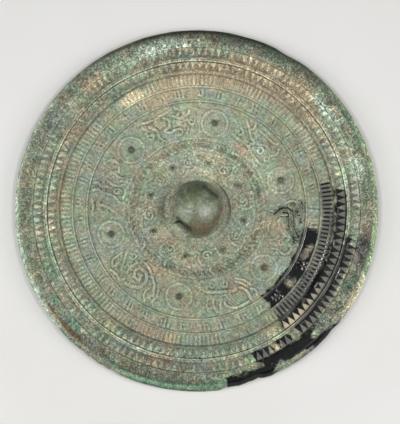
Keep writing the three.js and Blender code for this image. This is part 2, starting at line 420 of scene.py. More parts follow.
FIGURES: dict[Creature, list[Stroke | Hatch]] = {
    Creature.BIRD: [
        Stroke([(14, -3), (9, -4), (3, -4), (-1, -5.4), (-6, -6.6), (-12, -6.2)], 1.6, 1.1),
        Stroke([(11, 8), (7, 4), (3, 0.5), (-1.6, 0.4), (-5, 3), (-8.5, 3.2)], 1.3, 1.0),
        plain((2, 7.2), (-3, 7.0), (-7, 7.2), (-8.6, 8.8)),
        plain((-11, 7.5), (-12.6, 4.5), (-11.5, 1.5)),
        plain((6.5, 9.5), (5.5, 6.5), (6.8, 3.8)),
        plain((0.5, -0.8), (1.8, -2.6), (0.9, -4.2)),
        plain((11.5, 2.5), (9, 0.8), (10.5, -1.5)),
        Stroke(coil((-5.2, -1.6), 0.9, 2.4, 20, -1.0), 0.9, 0.9),
        curl((-11.5, -2.0), 0.8, 2.0, 200, 0.9),
        Hatch((2.5, -7.8), 5.0, 1.7, -8),
        Hatch((-3.2, 4.8), 3.2, 1.6, 25),
    ],
    Creature.DRAGON: [
        Stroke(
            [(6.6, -7.0), (9.4, -4.6), (10.8, -1.6), (10.5, 1.2), (8.8, 3.2), (5.6, 4.3), (1.7, 4.9),
             (-1.6, 6.6), (-4.2, 9.4)],
            1.3, 1.0, 0.55, True,
        ),
        Stroke(
            [(8.0, -2.0), (8.2, 0.2), (6.6, 1.5), (3.4, 1.8), (0.2, 2.4), (-3.0, 4.4), (-6.0, 7.2)],
            1.0, 0.8, 0.5, True,
        ),
        Stroke([(5.4, -3.4), (5.6, -0.8), (5.9, 1.8)], 0.9, 0.8, 0.45, True),
        Stroke([(9.2, 4.2), (8.1, 6.8)], 1.6, 1.2, 0.5, True),
        Stroke([(9.6, 6.8), (10.7, 8.1)], 0.8, 0.7, 0.45, True),
        Stroke([(13.2, 8.8), (11.8, 10.0)], 1.2, 1.0, 0.45, True),
        Stroke([(11.0, 9.0), (9.0, 9.8), (6.7, 9.8)], 1.0, 0.8, 0.45, True),
        scratch((12.2, 2.3), (13.2, 4.0), (12.6, 5.3), (11.3, 4.6)),
        scratch((6.5, 6.5), (7.1, 8.4)),
        scratch((4.5, 8.2), (5.3, 9.4)),
        scratch((3.1, 8.3), (4.0, 9.4)),
        scratch((-1.9, 7.9), (-0.7, 9.6)),
        scratch((-4.4, 5.6), (-4.9, 7.8)),
        scratch((-5.5, 6.0), (-6.0, 9.2)),
        scratch((-6.7, 6.0), (-7.4, 8.3)),
        Stroke([(6.3, 2.0), (6.6, 0.2), (6.0, -2.6), (3.2, -3.4)], 1.3, 1.0, 0.5),
        Stroke([(2.6, -3.0), (-0.4, -1.8), (-3.4, 0.4), (-5.0, 3.6)], 3.2, 1.8, 0.5),
        Stroke(
            [(-9.0, 5.4), (-10.6, 7.2), (-13.2, 6.6), (-14.8, 4.0), (-14.0, 0.2), (-15.0, -3.0)],
            1.5, 1.1, 0.5,
        ),
        plain((13.5, 6.2), (14.6, 3.2), (13.6, 0.0)),
        plain((-5.8, 8.6), (-5.0, 6.0), (-7.0, 3.4)),
        plain((0.8, -8.6), (-2.4, -9.4), (-5.6, -8.2)),
        plain((-6.6, -2.0), (-9.2, -3.6), (-10.6, -6.6)),
        curl((8.2, -8.4), 0.7, 1.9, 90, -1.0),
        curl((-9.6, 0.8), 0.7, 2.0, 0, 1.0),
        Hatch((-0.8, -0.6), 3.2, 1.2, 40, 1.2, 0.16),
    ],
    Creature.PLUMED_BIRD: [
        Stroke([(11.2, 8.4), (11.6, 4.2), (10.6, 1.2), (8.8, -0.6)], 1.5, 1.1, 0.5),
        Stroke([(9.6, 9.2), (5.0, 9.6), (0.6, 8.4), (-1.8, 5.6), (-0.8, 2.6), (2.6, 0.4)], 1.2, 1.0, 0.45),
        Hatch((4.6, 4.9), 4.9, 3.0, -28, 1.3, 0.34),
        Stroke(
            [(6.4, -0.4), (3.9, -0.6), (-1.6, -1.9), (-5.5, -2.8), (-11, -3.8), (-15.2, -6.6)],
            1.7, 1.1, 0.5,
        ),
        Stroke([(15.0, 1.0), (13.4, -2.6), (9.6, -6.2)], 1.4, 1.0, 0.45),
        Stroke([(12.8, 1.4), (11.2, -2.0), (8.2, -4.8)], 1.2, 0.9, 0.45),
        plain((-2.6, 2.2), (-4.4, 4.4), (-4.8, 7.4)),
        plain((-6.6, 8.6), (-8.0, 5.0), (-7.4, 1.2)),
        plain((-10.8, 7.6), (-11.6, 4.0), (-10.4, 0.6)),
        Stroke(coil((1.6, -6.0), 0.8, 2.5, 180, 1.1), 1.0, 0.9),
        curl((-6.6, -7.4), 0.7, 2.1, 30, -1.0),
        plain((14.8, 8.8), (15.4, 5.8), (14.0, 3.4)),
    ],
    Creature.COILED_BEAST: [
        Stroke(
            [(-0.8, 7.4), (4.7, 5.2), (6.6, 1.4), (6.4, -2.0), (3.9, -4.6), (-0.6, -4.6), (-2.0, -1.7),
             (0.2, 1.2), (3.1, 0.6), (2.6, -1.8)],
            1.7, 1.1, 0.55,
        ),
        Stroke(
            [(14.6, 3.6), (12.4, -1.2), (9.8, -4.0), (6.3, -6.8), (1.2, -8.6), (-3.8, -8.4)],
            1.5, 1.1, 0.45,
        ),
        plain((15.4, 7.4), (16.2, 3.6), (15.6, -0.4)),
        plain((11.8, 8.8), (9.8, 5.6), (10.4, 1.8)),
        Stroke([(-4.4, 2.4), (-5.6, -1.6), (-4.8, -5.8)], 1.3, 1.0),
        limb((-7.6, 4.4), (-9.4, 1.4), (-11.8, -1.8), (-15.4, -5.4)),
        plain((-4.0, 8.8), (-7.4, 7.8), (-10.8, 8.8)),
        plain((-12.0, 6.6), (-14.8, 4.4), (-15.0, 1.0)),
        curl((-9.6, -6.4), 0.8, 2.2, 120, 1.0),
        Hatch((12.2, -6.6), 3.4, 1.5, 60),
        Hatch((-0.6, 4.6), 2.6, 1.3, 20),
    ],
    Creature.TIGER: [
        Stroke(
            [(13.4, 3.4), (8.4, 5.4), (2.4, 3.0), (-3.6, 4.6), (-9.0, 2.4), (-11.6, -1.6)],
            1.9, 1.5, 0.45,
        ),
        limb((9.0, 4.2), (10.8, -1.0), (14.4, -5.6)),
        limb((2.6, 2.2), (3.4, -2.8), (6.8, -7.0)),
        limb((-4.6, 3.2), (-3.0, -2.6), (-5.6, -7.6)),
        Stroke([(-9.6, 0.6), (-8.6, -4.2), (-12.0, -8.0)], 1.3, 1.0),
        Stroke([(-11.6, -1.6), (-15.4, 0.4), (-15.8, 5.4), (-12.0, 8.2)], 1.2, 0.9),
        plain((2.2, 9.4), (1.2, 6.8), (2.2, 4.6)),
        plain((-1.6, 9.4), (-2.0, 7.2), (-0.6, 5.4)),
        plain((13.0, 8.6), (9.8, 8.2), (6.8, 9.2)),
        plain((4.4, -8.6), (0.0, -9.2), (-3.0, -8.4)),
        curl((0.4, -4.6), 0.8, 2.2, 240, 1.0),
        Hatch((-6.4, 6.6), 3.4, 1.5, -20),
    ],
    Creature.WINGED_BEAST: [
        Stroke([(13.4, 7.8), (9.8, 6.6), (6.2, 6.2), (2.2, 7.2), (-1.2, 7.4)], 1.3, 1.0),
        Stroke([(10.4, 3.6), (8.8, 1.0), (7.6, -1.6), (8.4, -4.8), (6.0, -7.6)], 1.6, 1.1, 0.5),
        Hatch((4.8, 2.6), 3.6, 2.4, 52, 1.3, 0.38),
        Stroke([(1.4, 5.0), (-0.8, 2.4), (0.4, -0.8), (4.0, -2.0)], 1.3, 1.0, 0.45),
        Stroke(
            [(4.0, -2.4), (1.0, -4.4), (-2.6, -3.4), (-6.6, -4.0), (-6.6, -6.4), (-3.4, -7.0)],
            1.4, 1.0, 0.45,
        ),
        limb((-3.4, 4.6), (-6.6, 2.6), (-10.4, 3.6), (-12.4, 6.6)),
        plain((-9.4, -1.2), (-10.8, -3.6), (-9.8, -6.4)),
        plain((-5.0, 9.2), (-7.0, 7.0), (-5.6, 4.6)),
        curl((-13.0, 0.0), 0.8, 2.2, 150, -1.0),
        Stroke(coil((12.4, -1.6), 0.7, 2.2, 60, 1.0), 1.0, 0.8),
        plain((14.0, 4.4), (12.4, 2.4), (14.6, 1.2)),
        Hatch((-13.0, -6.0), 3.0, 1.4, 40),
    ],
}


# ---------------------------------------------------------------- the rings of the back


@dataclass(frozen=True)
class Relief:
    """What a ring's surface is like at each of its points.

    Deposit is 1 where hollows are packed pale and -1 where high places are dark; on a turned section it is
    painted light on the crests and painted shade below them. Polished is above 0 where handling has kept
    the metal smooth, and rubbed is above 0 where it shows black through the crust.
    """

    height: Array
    deposit_and_shading: Array | float = 0.0
    polished: Array | float = -1.0
    rubbed: Array | float = -1.0


@dataclass
class Ring:
    """One ring of the mirror, turned as nested loops that are then lifted to its relief."""

    name: str
    columns: int
    rows: Sequence[float]
    reach: int = 2

    def turn(self) -> bpy.types.Object:
        """Makes the ring's loops from a circle, and lifts them.

        Returns:
            The ring, with what its surface is like stored in layers.
        """
        bpy.ops.object.select_all(action="DESELECT")
        bpy.ops.mesh.primitive_circle_add(vertices=self.columns, radius=self.rows[0] * MM)
        ring = bpy.context.object
        ring.name = self.name
        with editing():
            for before, after in pairwise(self.rows):
                bpy.ops.mesh.extrude_edges_move()
                growth = (after / before, after / before, 1.0)
                bpy.ops.transform.resize(value=growth, center_override=(0.0, 0.0, 0.0))
        self.lift(ring)
        return ring

    def lift(self, ring: bpy.types.Object) -> None:
        """Moves each loop's points to the ring's surface, and names its two edge loops.

        Args:
            ring: The flat loops.
        """
        flat = read_points(ring)
        radii = np.asarray(self.rows)
        row = np.abs(np.hypot(flat[:, 0], flat[:, 1])[:, None] - radii).argmin(1)
        share = np.arctan2(flat[:, 1], flat[:, 0]) / (2 * math.pi) * self.columns
        column = np.rint(share - share[0]).astype(int) % self.columns
        radius, angle, relief = self.surface(row, column)
        turned = np.radians(angle)
        write_points(ring, np.column_stack([radius * np.cos(turned), radius * np.sin(turned), relief.height]))
        for name in ("deposit_and_shading", "polished", "rubbed"):
            write_layer(ring, name, np.broadcast_to(getattr(relief, name), row.shape))
        write_layer(ring, "stands", self.standing(row, column, relief.height))
        for edge, at in (("inner", 0), ("outer", len(radii) - 1)):
            group = ring.vertex_groups.new(name=f"{self.name}_{edge}")
            group.add(np.flatnonzero(row == at).tolist(), 1.0, "REPLACE")

    def standing(self, row: Array, column: Array, height: Array) -> Array:
        """How far each point stands above its neighbourhood, or below it where less than 0.

        Args:
            row: Which loop each point is on.
            column: Which place on the loop it has.
            height: Its height.

        Returns:
            Millimetres above the mean height around it.
        """
        if self.reach == 0:
            return np.zeros_like(height)
        count, across = len(self.rows), 2 * self.reach + 1
        grid = np.empty((count, self.columns))
        grid[row, column] = height
        around = sum(np.roll(grid, k - self.reach, axis=1) for k in range(across)) / across
        padded = np.pad(around, ((self.reach, self.reach), (0, 0)), mode="edge")
        around = sum(padded[k : k + count] for k in range(across)) / across
        return (grid - around)[row, column]

    def surface(self, row: Array, column: Array) -> tuple[Array, Array, Relief]:
        """Where each point of the loops belongs.

        Args:
            row: Which loop each point is on.
            column: Which place on the loop it has.

        Returns:
            Radius, angle in degrees, and what the surface is like there.
        """
        radius = np.asarray(self.rows)[row]
        angle = column * (360.0 / self.columns)
        return radius, angle, self.relief(radius, angle)

    def relief(self, radius: Array, angle: Array) -> Relief:
        """What the surface is like at each radius and angle in degrees."""
        raise NotImplementedError


@dataclass
class Turned(Ring):
    """A ring with the same section all round."""

    section: Sequence[Point] = ()
    ground: float = 0.0
    # how strongly crests above the ground are painted light, and hollows below it painted shade
    pale: float = 0.0

    def relief(self, radius: Array, angle: Array) -> Relief:
        """The section's height at each radius.

        Args:
            radius: Each place's radius.
            angle: Its angle in degrees; not used.

        Returns:
            What the surface is like there.
        """
        height = level(self.section, radius)
        # painted light on crests above the ground and painted shade in hollows below it
        deposit_and_shading = self.pale * np.clip((height - self.ground) / 0.3, -1.0, 1.0)
        return Relief(height, deposit_and_shading)


@dataclass
class Teeth(Ring):
    """A ring of raised triangles, bases inwards and tips outwards, with packed gaps."""

    count: int = 0
    root: float = 0.0
    tip: float = 0.0
    rise: float = 0.5
    places: int = 7
    base: float = 0.44  # half a tooth at its root, as a share of the distance to the next
    point: float = 0.03  # the same at its tip
    side: float = 0.05  # the same for each sloping side

    def surface(self, row: Array, column: Array) -> tuple[Array, Array, Relief]:
        """Loops that follow the edges of the teeth.

        Args:
            row: Which loop each point is on.
            column: Which place on the loop it has.

        Returns:
            Radius, angle in degrees, and what the surface is like there.
        """
        radius = np.asarray(self.rows)[row]
        tooth, place = np.divmod(column, self.places)
        share = np.clip((radius - self.root) / (self.tip - self.root), 0.0, 1.0)
        rough = Lumps(1.0, 5).at(tooth * 7.3, np.zeros_like(radius))
        half = np.maximum(self.base * (1.0 - share) * (1 + 0.08 * rough), self.point)
        foot = half + self.side
        gap = 1.0 - 2 * foot
        across = np.select(
            [place == 0, place == 1, place == 2, place == 3, place == 4, place == 5],
            [-foot, -half, 0 * half, half, foot, foot + gap / 3],
            foot + gap * 2 / 3,
        )
        across = np.where(radius > self.tip + 0.05, place / self.places - 0.36, across)
        on_tooth = np.isin(place, (1, 2, 3)) & (radius < self.tip + 0.05)
        kerb = radius < self.root - 0.1
        worn = self.rise * (1.0 - 0.2 * share + 0.12 * rough)
        height = LEVELS.teeth + np.where(kerb, self.rise, np.where(on_tooth, worn, 0.0))
        angle = (tooth + across) * (360.0 / self.count)
        return radius, angle, Relief(height, np.where(kerb | on_tooth, -1.0, 1.0))


@dataclass
class Strokes(Ring):
    """A ring of narrow raised strokes, radial or slanted, between two thin lines."""

    count: int = 0
    inner: float = 0.0
    outer: float = 0.0
    section: Sequence[Point] = ()
    ground: float = 0.0
    rise: float = 0.42
    width: float = 0.46
    slant: float = 0.0
    places: int = 5
    pale: float = 0.5
    side: float = 0.07  # each sloping side, as a share of the distance to the next stroke

    def surface(self, row: Array, column: Array) -> tuple[Array, Array, Relief]:
        """Loops that follow the edges of the strokes.

        Args:
            row: Which loop each point is on.
            column: Which place on the loop it has.

        Returns:
            Radius, angle in degrees, and what the surface is like there.
        """
        radius = np.asarray(self.rows)[row]
        stroke, place = np.divmod(column, self.places)
        rough = Lumps(1.0, 9).at(stroke * 5.1, np.zeros_like(radius))
        half = self.width / 2 * (1 + 0.12 * rough)
        parts = np.linspace(0.0, 1.0, self.places - 3)[1:] if self.places > 5 else np.array([0.5])
        foot = half + self.side
        across = np.select(
            [place == 0, place == 1, place == 2, place == 3],
            [-foot, -half, half, foot],
            foot + (1.0 - self.width - 2 * self.side) * parts[np.clip(place - 4, 0, len(parts) - 1)],
        )
        share = (radius - self.inner) / (self.outer - self.inner)
        on_stroke = np.isin(place, (1, 2)) & (share > -0.01) & (share < 1.01)
        ends = ease(-0.02, 0.08, share) * ease(1.02, 0.92, share)
        stroke_top = self.ground + np.where(on_stroke, self.rise * (0.25 + 0.75 * ends), 0.0)
        height = np.maximum(level(self.section, radius), stroke_top)
        turned = stroke + across + self.slant * (share - 0.5)
        raised = np.clip((height - self.ground) / self.rise, 0.0, 1.0)
        deposit_and_shading = np.where(on_stroke, -raised, self.pale * (1.0 - raised))
        return radius, turned * (360.0 / self.count), Relief(height, deposit_and_shading)


@dataclass
class Words(Turned):
    """The band of the worn inscription: groups of shallow strokes, which are not letters."""

    places: int = 37
    middle: float = 67.8
    rise: float = 0.34

    def relief(self, radius: Array, angle: Array) -> Relief:
        """The section with the groups of strokes on it.

        Args:
            radius: Each place's radius.
            angle: Its angle in degrees.

        Returns:
            What the surface is like there.
        """
        base = super().relief(radius, angle)
        added = np.zeros_like(base.height)
        pitch = 360.0 / self.places
        for place in range(self.places):
            u = np.radians(degrees_between(angle, place * pitch)) * self.middle
            near = np.abs(u) < 5.0
            v = radius - self.middle
            for stroke in self.group(place):
                added[near] = np.maximum(added[near], stroke.lift(u[near], v[near]))
        return Relief(base.height + added, np.maximum(base.deposit_and_shading, 0.3 * added / self.rise))

    def group(self, place: int) -> Iterator[Stroke]:
        """The strokes at one place: a few short bars, long and crosswise.

        Args:
            place: Which place round the band.

        Yields:
            Each stroke.
        """
        pick = np.random.default_rng(100 + place)
        lean = pick.uniform(-0.5, 0.5)
        for offset in (-2.2, 0.0, 2.2)[: 2 + place % 2]:
            reach = pick.uniform(1.2, 2.5)
            yield Stroke([(offset - lean, -reach), (offset + lean, reach)], 0.8, 0.8, self.rise)
        if place % 3:
            bar = pick.uniform(-1.8, 1.8)
            yield Stroke([(-2.6, bar), (1.6, bar + lean)], 0.8, 0.7, self.rise)


@dataclass(frozen=True)
class Nipple:
    """A small dome: its radius at the foot, and how high it rises."""

    radius: float
    rise: float

    def lift(self, away: Array) -> Array:
        """Height of the dome at each distance from its middle."""
        return self.rise * np.clip(1.0 - (away / self.radius) ** 1.7, 0.0, 1.0) ** 0.8

    def handled(self, away: Array) -> Array:
        """Above 0 inside the dome, which handling has kept smooth."""
        return 1.0 - away / self.radius


@dataclass
class Field(Turned):
    """The main field: big nipples on round lined seats, with a worn creature between each two."""

    middle: float = 51.6
    nipple_ring: float = 51.3
    nipples: Sequence[float] = (28.3, -30.6, -90.9, -151.5, 146.0, 87.5)
    nipple: Nipple = Nipple(2.1, 2.1)
    seat: float = 7.4
    seat_edge: float = 1.3

    def relief(self, radius: Array, angle: Array) -> Relief:
        """The ground with the creatures, seats and nipples on it.

        Args:
            radius: Each place's radius.
            angle: Its angle in degrees.

        Returns:
            What the surface is like there.
        """
        base = super().relief(radius, angle)
        figures, polished, rubbed = np.zeros_like(radius), np.full_like(radius, -1.0), np.zeros_like(radius)
        for creature, strokes in FIGURES.items():
            u = np.radians(degrees_between(angle, creature.value)) * self.middle
            near = np.abs(u) < 19.0
            v = radius - self.middle
            for stroke in strokes:
                lift = stroke.lift(u[near], v[near])
                figures[near] = np.maximum(figures[near], lift)
                if isinstance(stroke, Stroke) and stroke.dark:
                    rubbed[near] = np.maximum(rubbed[near], lift / stroke.rise)
            for stroke in faint_strokes(26, 16.5, 9.0, int(creature.value)):
                figures[near] = np.maximum(figures[near], stroke.lift(u[near], v[near]))
        for at in self.nipples:
            away = away_from(radius, angle, self.nipple_ring, at)
            seat = 0.1 + 0.38 * np.exp(-(((away - self.seat) / 0.55) ** 2))
            end = self.seat + self.seat_edge
            figures = np.where(away < end, seat * ease(end, self.seat, away), figures)
            figures = figures + self.nipple.lift(away)
            polished = np.maximum(polished, self.nipple.handled(away))
        rubbed = 1.5 * rubbed
        return Relief(base.height + figures, np.clip(figures, 0.0, 0.5) - rubbed, polished, rubbed - 1)


@dataclass
class InnerField(Turned):
    """The ring round the knob: small nipples with curls between them."""

    middle: float = 27.8
    nipples: Sequence[float] = (69.7, 25.9, -19.0, -63.0, -107.6, -153.7, 156.3, 112.6)
    nipple: Nipple = Nipple(1.35, 1.3)

    def relief(self, radius: Array, angle: Array) -> Relief:
        """The ground with the nipples and curls on it.

        Args:
            radius: Each place's radius.
            angle: Its angle in degrees.

        Returns:
            What the surface is like there.
        """
        base = super().relief(radius, angle)
        figures, polished = np.zeros_like(radius), np.full_like(radius, -1.0)
        for index, at in enumerate(self.nipples):
            u = np.radians(degrees_between(angle, at - 22.4)) * self.middle
            v = radius - self.middle
            curls = (
                *faint_strokes(7, 6.5, 4.8, 40 + index),
                Stroke(coil((1.2, -0.6), 0.5, 3.0, 70.0 * index, 1.2), 0.9, 0.9, 0.36),
                Stroke([(-2.2, 4.6), (-3.8, 1.2), (-2.6, -3.4), (0.6, -4.8)], 0.9, 0.8, 0.34),
                Stroke([(4.0, 4.6), (2.0, 4.0), (0.4, 5.2)], 0.8, 0.8, 0.3),
            )
            near = np.abs(u) < 7.5
            for curl in curls:
                figures[near] = np.maximum(figures[near], curl.lift(u[near], v[near]))
        for at in self.nipples:
            away = away_from(radius, angle, self.middle, at)
            figures = np.where(away < 3.4, figures * ease(2.0, 3.4, away), figures)
            ring = 0.26 * np.exp(-(((away - 3.1) / 0.4) ** 2))
            figures = figures + ring + self.nipple.lift(away)
            polished = np.maximum(polished, self.nipple.handled(away))
        return Relief(base.height + figures, np.clip(figures, 0.0, 0.5), polished)


KNOB_RADIUS = 16.5
KNOB_RISE = 10.2


@dataclass
class Knob(Turned):
    """The domed knob on its low seat, pierced along X by an arched cord channel."""

    half_width: float = 5.5
    floor: float = 3.72
    rise: Point = (7.4, 5.4)
    fullness: float = 0.75
    half_length: float = 21.0
    steps: int = 70

    @staticmethod
    def dome(radius: Array) -> Array:
        """Height of the dome at each radius."""
        share = np.minimum(radius, KNOB_RADIUS) / KNOB_RADIUS
        return LEVELS.seat + KNOB_RISE * np.sqrt(np.clip(1 - share**1.8, 0.0, 1.0))

    def handled(self, points: Array) -> Array:
        """How far inside the smooth, handled part of the dome each point is, from -1 to 1.

        Args:
            points: Points of the casting.

        Returns:
            Above 0 inside it; crust creeps up the dome's sides.
        """
        radius, angle = polar(points)
        reach = 16.4 - 4.2 * np.exp(-((degrees_between(angle, 140.0) / 50.0) ** 2))
        reach = reach - 2.0 * np.exp(-((degrees_between(angle, -55.0) / 40.0) ** 2))
        inside = np.clip((reach - radius) / 3.0, -1.0, 1.0)
        return np.where(points[:, 2] > self.dome(radius) - 0.3, inside, -1.0)

    def shade(self, points: Array) -> Array:
        """Stops of painted shadow under the lips of the channel and of painted shade on the dome by its high
        lip, and lighter where above 0, just beyond each lip.

        Args:
            points: Points of the casting.

        Returns:
            0 away from the lips.
        """
        x, across = points[:, 0], np.abs(points[:, 1])
        low = -2.0 * np.exp(-(((x + 11.5) / 0.7) ** 2)) + 0.5 * np.exp(-(((x + 14.8) / 1.2) ** 2))
        high = 0.7 * np.exp(-(((x - 14.6) / 0.7) ** 2)) - 1.2 * np.exp(-(((x - 12.4) / 1.4) ** 2))
        return (low + high) * ease(6.2, 5.0, across)

    def pierce(self, knob: bpy.types.Object) -> None:
        """Closes the dome, cuts the channel through it and opens its underside again.

        Args:
            knob: The dome and seat, open at the pole and at the foot.
        """
        self.close(knob)
        arch = self.arch()
        cut = knob.modifiers.new("channel", "BOOLEAN")
        cut.operation, cut.solver, cut.object = "DIFFERENCE", "EXACT", arch
        only(knob)
        bpy.ops.object.modifier_apply(modifier=cut.name)
        bpy.data.objects.remove(arch)
        select_faces(knob, lambda centre, normal: centre[:, 2] < LEVELS.field - 0.6)
        with editing(None):
            bpy.ops.mesh.delete(type="FACE")

    def close(self, knob: bpy.types.Object) -> None:
        """Draws the pole together and caps the foot, so that the knob is solid while it is cut.

        Args:
            knob: The dome and seat, open at the pole and at the foot.
        """
        only(knob)
        with editing("DESELECT"):
            pick_groups(knob, f"{self.name}_inner")
            bpy.ops.mesh.merge(type="CENTER")
            pick_groups(knob, f"{self.name}_outer")
            bpy.ops.mesh.extrude_edges_move(TRANSFORM_OT_translate={"value": (0.0, 0.0, -1.5 * MM)})
            bpy.ops.mesh.edge_face_add()
            turn_outwards()

    def arch(self) -> bpy.types.Object:
        """The solid that the channel is cut with: half an oval bar, lower at one end.

        Returns:
            The bar, along X.
        """
        bpy.ops.object.select_all(action="DESELECT")
        bpy.ops.mesh.primitive_circle_add(
            vertices=36, radius=MM, fill_type="NGON",
            location=(-self.half_length * MM, 0, 0), rotation=(0, math.pi / 2, 0),
        )
        bpy.ops.object.transform_apply(location=True, rotation=True)
        arch = bpy.context.object
        step = 2 * self.half_length / self.steps * MM
        with editing():
            for _ in range(self.steps):
                bpy.ops.mesh.extrude_region_move(TRANSFORM_OT_translate={"value": (step, 0.0, 0.0)})
            turn_outwards()
        points = read_points(arch)
        high, low = self.rise
        rise = (high + low) / 2 - (high - low) / (2 * KNOB_RADIUS) * points[:, 0]
        size = np.maximum(np.hypot(points[:, 1], points[:, 2]), 1e-6)
        cos, sin = points[:, 1] / size, points[:, 2] / size
        points[:, 1] = self.half_width * size * np.sign(cos) * np.abs(cos) ** self.fullness
        points[:, 2] = self.floor + rise * size * np.clip(sin, 0.0, 1.0) ** self.fullness
        write_points(arch, points)
        return arch


# ---------------------------------------------------------------- where the surface differs


class Stain(Enum):
    """Kinds of corrosion, and of painted light and shade, each named as its layer.

    CRUST covers bare metal again and CHALK packs its hollows pale, or empties them below 0. GRIT makes the
    grains of the crust stronger, and the tone layer makes it lighter, or darker below 0, in doublings:
    painted light and shade on ridges, lines, bevel, knob and nipples, with some lighter and darker crust.
    """

    TAN = "tan"
    CREAM = "cream"
    LIME = "lime"
    TURQUOISE = "turquoise"
    MALACHITE = "malachite"
    RUST = "rust"
    PURPLE = "purple"
    CRUST = "crust"
    CHALK = "chalk"
    GRIT = "grit"
    TONE = "tone"


@dataclass(frozen=True)
class Patch:
    """Where a stain, or a patch of painted light and shade, lies: its middle, and how far it spreads round
    and outwards.
    """

    angle: float
    radius: float
    around: float
    outwards: float
    strength: float = 1.0

    def cover(self, radius: Array, angle: Array) -> Array:
        """How much of the stain is at each place.

        Args:
            radius: Each place's radius.
            angle: Its angle.

        Returns:
            The strength in the middle, falling to 0 away from it.
        """
        side = degrees_between(angle, self.angle) / self.around
        out = (radius - self.radius) / self.outwards
        return self.strength * np.exp(-(side**2) - out**2)


ROUND = 2000.0  # degrees, so wide a spread that a patch goes all the way round


def spots(*rows: tuple[float, float, float, float, float]) -> tuple[Patch, ...]:
    """Patches from rows of angle, radius, spread round, spread outwards and strength."""
    return tuple(Patch(*row) for row in rows)


def sector(angle: float, around: float, *rows: tuple[float, float, float]) -> tuple[Patch, ...]:
    """Patches in one sector, from rows of radius, spread outwards and strength."""
    return tuple(Patch(angle, radius, around, outwards, strength) for radius, outwards, strength in rows)


